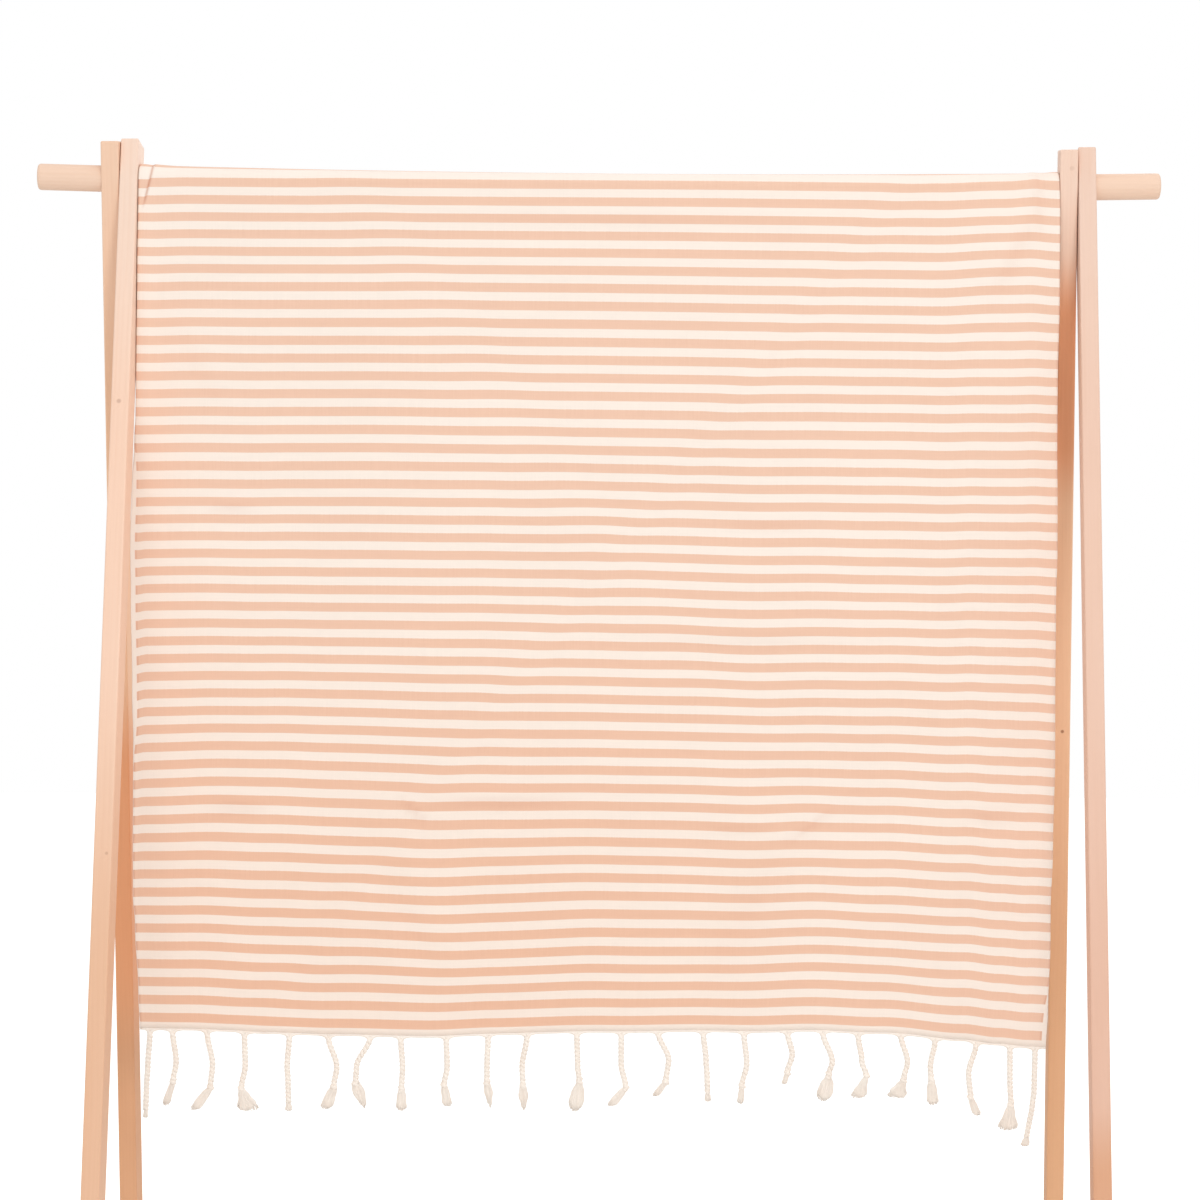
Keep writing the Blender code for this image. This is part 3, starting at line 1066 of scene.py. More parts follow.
@dataclass
class Towel:
    """One sheet of striped cloth: up from its front hem, round the rod and down the back.

    A drop is measured down the front panel from the rod's axis.  It is below zero over the rod
    and down the back.
    """

    rod: Rod
    width: float = 1.000
    front: float = 0.9065
    back: float = 0.825
    header: float = 2.5 * MM
    thickness: float = 1.1 * MM
    rod_gap: float = 0.35 * MM
    roll_turn: float = 2.7
    curl_width: float = 14.0 * MM
    edge_stand: float = 1.4 * MM
    edge_stand_reach: float = 12.0 * MM
    full_tuck: float = 6.0 * MM
    rod_nears: tuple[float, float] = (0.02, 0.12)
    pleat_place: float = 21.3 * MM
    pleat_slant: float = 0.22
    pleat_slants_from: float = 0.016
    pleat_height: float = 1.1 * MM
    pleat_rest: float = 16.0 * MM
    pleat_step: float = 1.3 * MM
    # Width of the painted shadow along the pleat's line.
    pleat_shadow_width: float = 1.3 * MM
    pleat_edge: float = 1.6 * MM
    pleat_fades: tuple[float, float] = (0.0144, 0.0360)
    pleat_rises: tuple[float, float] = (-0.060, -0.030)
    # How dark the painted shadow along the pleat's line is.
    pleat_darkness: float = 1.8
    pleat_slide: float = 4.0 * MM
    pleat_widens: float = 0.8
    pleat_widens_from: float = 0.020
    crest_slide: float = 5.5 * MM
    slide_starts: tuple[float, float] = (0.004, 0.014)
    # How far below a crease's line its painted shade lies, as a share of its half width.
    painted_shade_below: float = 0.7
    crease_starts: tuple[float, float] = (-0.030, -0.010)
    lift_starts: tuple[float, float] = (-0.15, 0.0)
    fold_power: float = 1.5
    fine_edge: float = 0.012
    fine_left: float = 0.036
    fine_right: float = 0.050
    column_steps: tuple[int, ...] = (14, 16, 121, 16, 14)
    fine_top: float = 0.060
    fine_back: float = 0.040
    row_steps: tuple[int, ...] = (134, 27, 24, 6, 48)

    @property
    def lay_radius(self) -> float:
        """From the rod's axis to the middle of the cloth."""
        return self.rod.radius + self.rod_gap + 0.5 * self.thickness

    @property
    def round_rod(self) -> float:
        """Length of cloth that lies round the rod: half a circle."""
        return math.pi * self.lay_radius

    @property
    def length(self) -> float:
        """Length of the whole cloth from hem to hem."""
        return self.front + self.round_rod + self.back

    def near_rod(self, drop: np.ndarray) -> np.ndarray:
        """How near the cloth is to the rod.

        Args:
            drop: drop of each point.

        Returns:
            1 where the cloth lies on the rod, easing to 0 below it on both sides.
        """
        near, far = self.rod_nears
        above_back = ramp(drop + self.round_rod, -far, -near)
        return above_back * (1.0 - ramp(drop, near, far))

    def turned_edge(self, rolls: Sequence[Roll], inset: np.ndarray, drop: np.ndarray) -> TurnedEdge:
        """How a selvedge turns inwards.

        The cloth follows a circle from where it starts to turn, up to the full turn, and then
        goes straight on: outwards by radius times sine of the turn, and inwards by radius times
        one less its cosine.  The full turn is half a circle on the rod, so that the turned-in
        cloth lies flat there, and the roll turn elsewhere.

        Args:
            rolls: the selvedge's table.
            inset: distance from the selvedge along the flat cloth.
            drop: drop of each point.

        Returns:
            The turn at each point.
        """
        tucked = read(rolls, "drop", "tucked", drop)
        radius = read(rolls, "drop", "radius", drop)
        past = np.maximum(tucked - inset, 0.0)
        full_turn = mix(self.roll_turn, math.pi, self.near_rod(drop))
        turn = np.minimum(past / radius, full_turn)
        straight = past - radius * turn
        outwards = radius * np.sin(turn) + straight * np.cos(turn)
        inwards = radius * (1.0 - np.cos(turn)) + straight * np.sin(turn)
        reach = radius * np.sin(np.minimum(tucked / radius, 0.5 * math.pi))
        return TurnedEdge(tucked, reach, outwards, inwards)

    def lift(self, x: np.ndarray, drop: np.ndarray) -> np.ndarray:
        """How far the stripes lie above where an even cloth would have them.

        The lift at the rod and the lift at the hem are mixed by the share of the drop, and each
        pull adds a soft hill or hollow: its lift times a bell across and a bell down.

        Args:
            x: place of each point along X.
            drop: drop of each point.

        Returns:
            The lift of each point.
        """
        level = np.clip(drop / self.front, 0.0, 1.0)
        at_top = read(TOP_LIFTS, "place", "value", x)
        at_hem = self.front + self.header - read(HEM_DROPS, "place", "value", x)
        total = mix(at_top, at_hem, level)
        for pull in PULLS:
            share = bell(x - pull.place, pull.wide) * bell(level - pull.level, pull.high)
            total = total + pull.lift * share
        return total

    def creases(self, x: np.ndarray, drop: np.ndarray) -> tuple[np.ndarray, np.ndarray, np.ndarray]:
        """What the small ridges and troughs of the front panel do.

        Each is a bell across its line, and fades towards its two ends as the square of one less
        the square of the distance along it.

        Args:
            x: place of each point along X.
            drop: drop of each point.

        Returns:
            Height towards the viewer, lift of the stripes, and painted shade from 0 to 1 on the lower
            side of each.
        """
        height, lift, shade = np.zeros_like(x), np.zeros_like(x), np.zeros_like(x)
        for crease in CREASES:
            slant = math.radians(crease.angle)
            right, up = x - crease.place, crease.drop - drop
            along = right * math.cos(slant) + up * math.sin(slant)
            across = up * math.cos(slant) - right * math.sin(slant)
            fade = np.square(1.0 - np.minimum(np.square(2.0 * along / crease.length), 1.0))
            below = across + self.painted_shade_below * crease.width
            height += crease.height * fade * bell(across, crease.width)
            lift += 0.5 * crease.step * fade * np.tanh(across / crease.width)
            # Painted shade on the lower side of each ridge and trough.
            shade += crease.shade * fade * bell(below, crease.width)
        return height, lift, shade

    def pleat(self, inset: np.ndarray, drop: np.ndarray) -> tuple[np.ndarray, np.ndarray, np.ndarray]:
        """The small lapped pleat on the rod at the top left.

        Right of its slanting line the cloth stands off the rod and settles again as a bell.
        Left of it the cloth lies flat, and its stripes hang lower.

        Args:
            inset: distance of each point from the left selvedge.
            drop: drop of each point.

        Returns:
            Height off the rod, lift of the stripes, and painted shadow from 0 to 1 along its line.
        """
        fade = ramp(drop, *self.pleat_rises) * (1.0 - ramp(drop, *self.pleat_fades))
        slant = self.pleat_slant * np.maximum(drop + self.pleat_slants_from, 0.0)
        right_of_line = inset - self.pleat_place + slant
        step = smooth(right_of_line / self.pleat_edge + 0.5)
        height = self.pleat_height * step * bell(np.maximum(right_of_line, 0.0), self.pleat_rest)
        lift = -self.pleat_step * (1.0 - step)
        return height * fade, lift * fade, bell(right_of_line, self.pleat_shadow_width) * fade

    def slide(self, inset: np.ndarray, drop: np.ndarray) -> np.ndarray:
        """How far the cloth is drawn over the crest of the rod, further left of the pleat.

        Args:
            inset: distance of each point from the left selvedge.
            drop: drop of each point.

        Returns:
            The slide, which eases in above the rod's axis and holds down the back.
        """
        widened = self.pleat_widens * np.maximum(-drop - self.pleat_widens_from, 0.0)
        beside = (inset - self.pleat_place) / (self.pleat_edge + widened)
        slide = self.crest_slide + self.pleat_slide * (1.0 - smooth(beside + 0.5))
        return slide * ramp(-drop, *self.slide_starts)

    def off_axis(
        self, inset: np.ndarray, drop: np.ndarray, left: TurnedEdge, right: TurnedEdge
    ) -> np.ndarray:
        """How far the cloth lies from the rod's axis, or from the upright plane below it.

        Beside a turned-in edge it stands off by a bell, and the left edge curls forward.

        Args:
            inset: distance of each point from the left selvedge.
            drop: drop of each point.
            left: turn of the left selvedge.
            right: turn of the right selvedge.

        Returns:
            The distance, without creases and pleat.
        """
        past_left, past_right = inset - left.tucked, self.width - inset - right.tucked
        stand = np.zeros_like(inset)
        for past, tucked in ((past_left, left.tucked), (past_right, right.tucked)):
            near_edge = bell(np.maximum(past, 0.0), self.edge_stand_reach)
            stand += near_edge * np.minimum(tucked / self.full_tuck, 1.0)
        curl = read(LEFT_CURLS, "drop", "forward", drop) * bell(past_left, self.curl_width)
        turned = left.inwards + right.inwards
        return self.lay_radius + self.edge_stand * self.near_rod(drop) * stand + curl - turned

    def lay(self, inset: np.ndarray, along: np.ndarray) -> tuple[np.ndarray, np.ndarray]:
        """Lay the flat cloth over the rod.

        Across, it runs between the two edges' tables.  Along, it goes up the front panel, round
        the rod as an arc and down the back panel.  Folds bring both panels forward or back, by a
        power of the share of the panel's length.

        Args:
            inset: distance of each point from the left selvedge.
            along: distance from the front hem, the same shape as the inset.

        Returns:
            Points of the cloth's middle surface, and its painted shade of creases and of the pleat.
        """
        rod, drop = self.rod, self.front - along
        over = smooth(-drop / self.round_rod)
        down_back = np.maximum(-drop - self.round_rod, 0.0)
        start, stop = (
            mix(read(FRONT_EDGES, "drop", side, drop), read(BACK_EDGES, "drop", side, down_back), over)
            for side in ("left", "right")
        )
        left = self.turned_edge(LEFT_ROLLS, inset, drop)
        right = self.turned_edge(RIGHT_ROLLS, self.width - inset, drop)
        share = (inset - left.tucked) / (self.width - left.tucked - right.tucked)
        x = mix(start + left.reach, stop - right.reach, np.clip(share, 0.0, 1.0))
        x = x - left.outwards + right.outwards

        ridge, crease_lift, crease_shade = self.creases(x, drop)
        pleat_height, pleat_lift, pleat_shadow = self.pleat(inset, drop)
        lift = self.lift(x, drop) + crease_lift + pleat_lift + self.slide(inset, drop)
        passed = drop - (lift + rod.sag(x)) * ramp(drop, *self.lift_starts)
        on_front = ramp(drop, *self.crease_starts)
        off = self.off_axis(inset, drop, left, right) + ridge * on_front + pleat_height

        past_rod = -passed - self.round_rod
        front_share = np.clip(passed / self.front, 0.0, 1.0) ** self.fold_power
        back_share = np.clip(past_rod / self.back, 0.0, 1.0) ** self.fold_power
        forward = read(FRONT_FOLDS, "place", "forward", x) * front_share
        forward = forward + read(BACK_FOLDS, "place", "forward", x) * back_share
        turn = np.clip(-passed / self.lay_radius, 0.0, math.pi)
        below = np.maximum(passed, 0.0) + np.maximum(past_rod, 0.0)
        level_back = np.clip(down_back / self.back, 0.0, 1.0)
        y = -off * np.cos(turn) - forward
        z = rod.axis(x) + off * np.sin(turn) - below + rod.sag(x) * level_back
        # Painted shade of the creases and of the pleat's line, kept on the cloth's points.
        shade = np.clip(crease_shade * on_front, 0.0, 1.0) + self.pleat_darkness * pleat_shadow
        return np.stack([x, y, z], -1), shade

    def columns(self) -> np.ndarray:
        """Places across the cloth: close together at the selvedges and at the pleat."""
        stops = (0.0, self.fine_edge, self.fine_left, self.width - self.fine_right,
                 self.width - self.fine_edge, self.width)
        return spread(stops, self.column_steps)

    def rows(self) -> np.ndarray:
        """Places along the cloth: close together round the rod and just below it.

        Returns:
            The places, from the front hem to the back one.
        """
        top, past = self.front, self.front + self.round_rod
        stops = (0.0, top - self.fine_top, top, past, past + self.fine_back, self.length)
        return spread(stops, self.row_steps)

    def build(self) -> bpy.types.Object:
        """Make the sheet.

        Returns:
            The piece, with its real thickness, its UV map in metres and its painted shade of creases
            and of the pleat.
        """
        across, along = np.meshgrid(self.columns(), self.rows())
        points, shade = self.lay(across, along)
        surface = sheet_surface(points, across, along)
        material = StripedCotton(self.length, self.width, self.length - self.back).make()
        cloth = surface.build("towel_cloth", material)
        attribute = cloth.data.attributes.new(PAINTED_CREASE_SHADE, "FLOAT", "POINT")
        attribute.data.foreach_set("value", shade.astype(np.float32).ravel())
        body = cloth.modifiers.new("cloth_body", "SOLIDIFY")
        body.thickness = self.thickness
        body.offset = 0.0
        body.use_even_offset = True
        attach(cloth, "root")
        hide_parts("towel")
        return cloth

    def hem(self, at_back: bool) -> Callable[[np.ndarray], np.ndarray]:
        """The edge of a hem, without the strips that are turned in at the selvedges.

        Args:
            at_back: whether it is the hem at the back.

        Returns:
            A function that gives points of the edge, from 0 at its left end to 1 at its right.
        """
        places = self.columns()
        along = np.full_like(places, self.length if at_back else 0.0)
        points, _ = self.lay(places, along)
        shown = points[points[:, 0].argmin():points[:, 0].argmax() + 1]
        share = (shown[:, 0] - shown[0, 0]) / (shown[-1, 0] - shown[0, 0])

        def at(place: np.ndarray) -> np.ndarray:
            """Points of the hem, read straight between the cloth's columns."""
            return np.stack([np.interp(place, share, shown[:, axis]) for axis in range(3)], -1)

        return at


# ---------------------------------------------------------------------------------------------
# Fringe
# ---------------------------------------------------------------------------------------------

class TipWidth(NamedTuple):
    """How wide a cord's loose end is: share of the way from knot to end, share of full width."""

    share: float
    width: float


class Tip(Enum):
    """How a cord ends, by the outline of its loose threads."""

    BRUSH = ((0.0, 0.55), (0.3, 0.85), (0.8, 1.0), (1.0, 0.80))
    FAN = ((0.0, 0.30), (0.4, 0.60), (0.8, 1.0), (1.0, 1.0))
    PADDLE = ((0.0, 0.35), (0.35, 0.85), (0.65, 1.0), (0.9, 0.75), (1.0, 0.45))
    POINT = ((0.0, 0.70), (0.35, 1.0), (0.75, 0.60), (1.0, 0.20))

    def width(self, share: np.ndarray) -> np.ndarray:
        """Share of the tip's full width, eased between the rows of its outline."""
        return read([TipWidth(*row) for row in self.value], "share", "width", share)


class Cord(NamedTuple):
    """A twisted cord: root along the flat hem from its middle, how far to the right of its root
    its middle, its knot and its tip hang, its length, share of the length at which its knot sits
    or 0 for none, width of its tip, and how it ends."""

    root: float
    middle: float
    at_knot: float
    at_tip: float
    length: float
    knot: float
    tip_width: float
    end: Tip


FRONT_CORDS = (
    Cord(-0.489, -0.002, -0.003, -0.004, 0.092, 0.00, 0.006, Tip.BRUSH),
    Cord(-0.464, 0.004, 0.001, -0.007, 0.079, 0.66, 0.009, Tip.BRUSH),
    Cord(-0.426, 0.006, 0.004, -0.014, 0.083, 0.71, 0.012, Tip.BRUSH),
    Cord(-0.385, 0.001, -0.003, 0.006, 0.082, 0.70, 0.023, Tip.FAN),
    Cord(-0.336, -0.002, -0.001, 0.000, 0.080, 0.00, 0.008, Tip.BRUSH),
    Cord(-0.293, 0.009, 0.006, -0.003, 0.077, 0.69, 0.014, Tip.BRUSH),
    Cord(-0.247, -0.014, -0.015, -0.005, 0.075, 0.64, 0.014, Tip.POINT),
    Cord(-0.213, 0.002, 0.001, 0.001, 0.077, 0.70, 0.012, Tip.BRUSH),
    Cord(-0.163, 0.001, -0.002, 0.002, 0.073, 0.68, 0.011, Tip.BRUSH),
    Cord(-0.117, -0.001, -0.001, 0.003, 0.076, 0.64, 0.010, Tip.POINT),
    Cord(-0.074, -0.005, -0.004, -0.003, 0.080, 0.68, 0.011, Tip.POINT),
    Cord(-0.019, 0.001, 0.003, -0.002, 0.083, 0.60, 0.017, Tip.PADDLE),
    Cord(0.030, 0.000, 0.005, -0.012, 0.077, 0.74, 0.011, Tip.BRUSH),
    Cord(0.071, 0.011, 0.008, -0.004, 0.067, 0.77, 0.009, Tip.BRUSH),
    Cord(0.121, 0.003, 0.004, 0.005, 0.073, 0.00, 0.008, Tip.BRUSH),
    Cord(0.166, 0.003, -0.002, -0.004, 0.075, 0.75, 0.008, Tip.BRUSH),
    Cord(0.214, 0.005, 0.000, -0.004, 0.055, 0.76, 0.007, Tip.BRUSH),
    Cord(0.253, 0.010, 0.006, 0.000, 0.073, 0.62, 0.018, Tip.PADDLE),
    Cord(0.292, 0.004, 0.009, -0.001, 0.068, 0.64, 0.017, Tip.FAN),
    Cord(0.340, 0.007, 0.003, -0.006, 0.066, 0.70, 0.021, Tip.FAN),
    Cord(0.378, -0.005, -0.004, -0.002, 0.070, 0.62, 0.013, Tip.BRUSH),
    Cord(0.423, -0.008, -0.006, 0.002, 0.077, 0.74, 0.010, Tip.BRUSH),
    Cord(0.460, 0.000, 0.001, -0.003, 0.089, 0.67, 0.022, Tip.FAN),
    Cord(0.488, -0.001, -0.003, -0.011, 0.103, 0.00, 0.010, Tip.BRUSH),
)


@dataclass(frozen=True)
class EvenCords:
    """Cords that differ only a little, for the end of the towel that hangs at the back."""

    swing: Triple = (7.0 * MM, 3.0 * MM, -6.0 * MM)
    length: float = 78.0 * MM
    varied_length: float = 6.0 * MM
    knot: float = 0.68
    tip_width: float = 10.0 * MM
    wider_tip: float = 3.0 * MM
    ends: tuple[Tip, ...] = (Tip.BRUSH, Tip.FAN, Tip.PADDLE)

    def cords(self) -> list[Cord]:
        """One cord behind each of the front's roots.

        A cord's number times the golden share, as a fraction, says how much it varies.

        Returns:
            The cords, from left to right.
        """
        cords = []
        for number, front in enumerate(FRONT_CORDS):
            varied = (GOLDEN_SHARE * number) % 1.0 - 0.5
            kind = number % len(self.ends)
            swing = (reach * varied for reach in self.swing)
            length = self.length + self.varied_length * varied
            tip_width = self.tip_width + self.wider_tip * kind
            cords.append(Cord(front.root, *swing, length, self.knot, tip_width, self.ends[kind]))
        return cords


@dataclass
class Fringe:
    """A comb of twisted cords along a hem."""

    name: str
    node: str
    cords: Sequence[Cord]
    hem: Callable[[np.ndarray], np.ndarray]
    cloth_width: float
    header_height: float = 2.4 * MM
    header_depth: float = 1.2 * MM
    header_below: float = 0.35
    header_rings: int = 260
    ply_radius: float = 2.0 * MM
    ply_sides: int = 8
    twist_radius: float = 1.45 * MM
    twist_pitch: float = 9.0 * MM
    gather_reach: float = 16.0 * MM
    gather_drop: float = 3.2 * MM
    gather_rings: int = 12
    gather_in: float = 1.5
    gather_down: float = 4.0
    gather_radius: float = 0.5 * MM
    start_below: float = 2.4 * MM
    swing_end: float = 0.42
    plain_swing_end: float = 0.60
    ring_step: float = 1.15 * MM
    knot_radius: float = 2.3 * MM
    knot_strand: float = 1.95 * MM
    knot_swell: float = 0.25
    knot_turns: float = 1.35
    knot_height: float = 2.6
    knot_rings: int = 26
    core_height: float = 4.2 * MM
    core_radius: float = 2.7 * MM
    core_end: float = 0.3 * MM
    core_rings: int = 9
    loose_end: float = 9.0 * MM
    thread_radius: float = 0.62 * MM
    thread_gap: float = 0.95 * MM
    thread_thins: float = 0.3
    thread_wave: float = 0.30 * MM
    thread_waves: float = 1.2
    thread_shift: float = 0.4
    cord_shift: int = 3
    thread_rings: int = 9
    thread_sides: int = 5
    oval_round: float = 2.2
    uneven_ends: float = 0.07
    round_ends: float = 0.15
    round_power: int = 4
    tip_depth: float = 5.0 * MM
    tip_thins: float = 0.35
    body_length: float = 0.93
    body_inset: float = 0.8
    body_sides: int = 12
    body_close: float = 0.9
    body_close_power: int = 8

    def header(self) -> Surface:
        """The band of bare threads under the hem.

        Returns:
            A flat tube that follows the hem, a share of its own height below it.
        """
        path = self.hem(np.linspace(0.0, 1.0, self.header_rings))
        path[:, 2] -= self.header_below * self.header_height
        return tube(path, 0.5 * self.header_height, 0.5 * self.header_depth)

    def line(self, cord: Cord, share: np.ndarray) -> np.ndarray:
        """Points of a cord's own line, below its root on the hem.

        It eases sideways from the root to the middle and on to the knot, and from there goes
        straight to the tip.

        Args:
            cord: the cord.
            share: shares of its length.

        Returns:
            The points.
        """
        root = self.hem(np.array([0.5 + cord.root / self.cloth_width]))[0]
        knot = cord.knot or self.plain_swing_end
        to_tip = np.clip((share - knot) / (1.0 - knot), 0.0, 1.0)
        sideways = cord.middle * ramp(share, 0.0, self.swing_end)
        sideways = sideways + (cord.at_knot - cord.middle) * ramp(share, self.swing_end, knot)
        sideways = sideways + (cord.at_tip - cord.at_knot) * to_tip
        down = self.start_below + cord.length * share
        return root + np.stack([sideways, np.zeros_like(down), -down], -1)

    def ply(self, cord: Cord, side: float, last: float) -> Surface:
        """One of a cord's two plies, which starts as threads gathered from along the hem.

        Gathered, it comes in along the hem by its reach times a power of what is left, and drops
        by a higher power of what is done.  Then it winds round the cord's line: the twist radius
        times the cosine and the sine of a turn for each twist pitch.

        Args:
            cord: the cord.
            side: -1 for the ply from the left, 1 for the one from the right.
            last: share of the cord's length at which the ply ends.

        Returns:
            The ply.
        """
        place = 0.5 * self.cloth_width + cord.root
        done = np.linspace(0.0, 1.0, self.gather_rings, endpoint=False)
        room = place if side < 0 else self.cloth_width - place
        reach = min(self.gather_reach, room - self.twist_radius)
        across = place + side * (self.twist_radius + reach * (1.0 - done) ** self.gather_in)
        gathered = self.hem(across / self.cloth_width)
        gathered[:, 2] -= 0.5 * self.header_height + self.gather_drop * done ** self.gather_down
        start = (self.gather_drop + 0.5 * self.header_height - self.start_below) / cord.length
        rings = int((last - start) * cord.length / self.ring_step)
        share = np.linspace(start, last, rings)
        turn = FULL_TURN * (share - start) * cord.length / self.twist_pitch
        turn = turn + (math.pi if side < 0 else 0.0)
        wound = self.line(cord, share)
        wound[:, 0] += self.twist_radius * np.cos(turn)
        wound[:, 1] += self.twist_radius * np.sin(turn)
        thin = mix(self.gather_radius, self.ply_radius, smooth(done))
        radius = np.append(thin, np.full(rings, self.ply_radius))
        return tube(np.concatenate([gathered, wound]), radius, radius, self.ply_sides)

    def knot(self, cord: Cord, number: int) -> Surface:
        """The knot: a thick strand wound a little over once round a pointed core.

        The strand is a spiral down the cord's line, thickest half way as the sine of half a
        turn.  The core is as thick as the sine of half a turn down its height.

        Args:
            cord: the cord.
            number: the cord's number, which turns the knot.

        Returns:
            The knot.
        """
        middle = self.line(cord, np.array([cord.knot]))[0]
        share = np.linspace(0.0, 1.0, self.knot_rings)
        turn = FULL_TURN * (self.knot_turns * share + GOLDEN_SHARE * number)
        swell = self.knot_strand * (1.0 - self.knot_swell + self.knot_swell * np.sin(np.pi * share))
        across, front = self.knot_radius * np.cos(turn), self.knot_radius * np.sin(turn)
        path = np.stack([across, front, (0.5 - share) * self.knot_height * self.knot_radius], -1)
        strand = tube(middle + path, swell, swell, self.ply_sides, (0.0, 0.0, 1.0))
        half = np.linspace(0.0, np.pi, self.core_rings)
        core = np.outer(np.cos(half), (0.0, 0.0, self.core_height))
        radius = self.core_end + self.core_radius * np.sin(half)
        return Surface.joined([strand, tube(middle + core, radius, radius, self.ply_sides)])

    def tuft(self, cord: Cord, first: float, number: int) -> Surface:
        """The loose threads of a cord's end, laid side by side round a soft flat body.

        The body's section is an oval as wide as the cord's way of ending gives, and the threads
        stand evenly round that oval: its half width times the cosine of an angle to the side,
        and its half depth times the sine to the front.

        Args:
            cord: the cord.
            first: share of its length at which the threads start.
            number: the cord's number, which varies the threads.

        Returns:
            The body and its threads.
        """
        done = np.linspace(0.0, 1.0, self.thread_rings)
        thin, inset = self.thread_radius, self.body_inset * self.thread_radius
        flat = 1.0 - self.tip_thins * done
        around = self.oval_round * (cord.tip_width + self.tip_depth)
        threads = int(around / (2.0 * self.thread_gap))
        body = self.body_length * done
        closed = np.sqrt(1.0 - self.body_close * done ** self.body_close_power)
        wide = 0.5 * cord.tip_width * cord.end.width(body) * closed - inset
        deep = (0.5 * self.tip_depth - inset) * flat * closed
        line = self.line(cord, mix(first, 1.0, body))
        parts = [tube(line, np.maximum(wide, thin), deep, self.body_sides)]
        for thread in range(threads):
            varied = (GOLDEN_SHARE * (thread + self.cord_shift * number)) % 1.0
            angle = FULL_TURN * (thread + self.thread_shift * varied) / threads
            rounded = self.round_ends * math.cos(angle) ** self.round_power
            reach = done * (1.0 - self.uneven_ends * varied - rounded)
            wave = self.thread_wave * np.sin(FULL_TURN * (self.thread_waves * done + varied)) * done
            path = self.line(cord, mix(first, 1.0, reach))
            half = 0.5 * cord.tip_width * cord.end.width(reach) - thin
            path[:, 0] += math.cos(angle) * half + wave
            path[:, 1] += math.sin(angle) * (0.5 * self.tip_depth - thin) * flat + wave
            radius = thin * (1.0 - self.thread_thins * done)
            parts.append(tube(path, radius, radius, self.thread_sides))
        return Surface.joined(parts)

    def build(self, material: bpy.types.Material) -> bpy.types.Object:
        """Make the fringe as one piece.

        Args:
            material: finish of its threads.

        Returns:
            The piece.
        """
        parts = [self.header()]
        for number, cord in enumerate(self.cords):
            last = cord.knot if cord.knot else 1.0 - self.loose_end / cord.length
            parts += [self.ply(cord, -1.0, last), self.ply(cord, 1.0, last)]
            if cord.knot:
                parts.append(self.knot(cord, number))
            parts.append(self.tuft(cord, last, number))
        piece = Surface.joined(parts).build(self.name, material)
        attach(piece, "root")
        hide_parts(self.node)
        return piece


# ---------------------------------------------------------------------------------------------
# Stand
# ---------------------------------------------------------------------------------------------

class Batten(NamedTuple):
    """The wood of one batten: its node, its colours at the top, in the middle and at the foot,
    its knots and its darker stretches."""

    node: str
    top: Colour
    middle: Colour
    foot: Colour
    knots: tuple[Knot, ...] = ()
    stretches: tuple[Stretch, ...] = ()


# The back battens' feet and stretches are darker and more orange than the front ones', partly as
# painted shade for where they stand behind the front battens and the towel.
BATTENS = (
    Batten(
        "left_front_leg", paint(248, 222, 205), paint(249, 213, 190), paint(235, 190, 158),
        knots=(Knot(-0.001, -0.017, -0.247, 3.4 * MM, 0.35),
               Knot(0.004, -0.017, -0.722, 2.5 * MM, 0.3)),
    ),
    Batten(
        "left_back_leg", paint(245, 209, 183), paint(255, 212, 177), paint(226, 171, 131),
        stretches=(Stretch(-0.75, 0.22, paint(243, 174, 128)),),
    ),
    Batten(
        "right_front_leg", paint(239, 209, 192), paint(236, 200, 180), paint(230, 188, 166),
        stretches=(Stretch(-1.12, 0.16, paint(222, 168, 134)),),
    ),
    Batten(
        "right_back_leg", paint(244, 214, 196), paint(255, 208, 171), paint(229, 177, 136),
        knots=(Knot(0.003, -0.017, 0.020, 3.6 * MM, 0.16),
               Knot(0.001, -0.017, -0.588, 2.6 * MM, 0.8)),
        # This stretch is mostly painted shadow, cast by the front batten and the towel's edge.
        stretches=(Stretch(-0.20, 0.15, paint(246, 177, 133)),),
    ),
)


@dataclass
class Stand:
    """Finishes of the rod and of the four battens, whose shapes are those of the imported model."""

    rod: Rod
    splay: float = math.radians(8.2)
    frame_turn: float = math.radians(-4.0)
    pair_offset: float = 9.9 * MM
    rod_tone: Colour = paint(244, 213, 191)
    rod_pith: tuple[float, float] = (0.020, 0.016)
    first_pith: float = 0.034
    pith_step: float = 0.017
    pith_depth: float = 0.030

    def finishes(self) -> dict[str, PaleWood]:
        """The wood of each node, with its grain along that piece's own length.

        A batten's centre lies where it crosses the rod: half the pair's width beside the middle
        of the pair, turned in plan with the A-frame.  Each batten has its pith elsewhere.

        Returns:
            The finish of each node, by its name.
        """
        along_rod = (0.0, 0.5 * math.pi, 0.0)
        tones = (self.rod_tone,) * 3
        finishes = {
            "rod": PaleWood("rod_wood", (0.0, 0.0, self.rod.height), along_rod, *tones, self.rod_pith),
        }
        for number, batten in enumerate(BATTENS):
            side = -1.0 if batten.node.startswith("left") else 1.0
            front = 1.0 if "front" in batten.node else -1.0
            offset = front * self.pair_offset
            x = side * self.rod.half_span + offset * math.cos(self.frame_turn)
            centre = (x, offset * math.sin(self.frame_turn), self.rod.height)
            pith = (self.first_pith - self.pith_step * number, self.pith_depth * (-1.0) ** number)
            finishes[batten.node] = PaleWood(
                batten.node + "_wood", centre, (-front * self.splay, 0.0, self.frame_turn),
                batten.top, batten.middle, batten.foot, pith, batten.knots, batten.stretches,
            )
        return finishes

    def dress(self) -> None:
        """Give every wooden node its own finish, in place of its plain one."""
        for node, finish in self.finishes().items():
            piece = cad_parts[node]
            material = finish.make()
            piece.data.materials.clear()
            piece.data.materials.append(material)
            log.info("%s: %s", node, material.name)


# ---------------------------------------------------------------------------------------------
# Studio
# ---------------------------------------------------------------------------------------------

class Lamp(NamedTuple):
    """A soft square lamp: name, place, point that it faces, side and power in watts."""

    name: str
    place: Triple
    faces: Triple
    side: float
    power: float


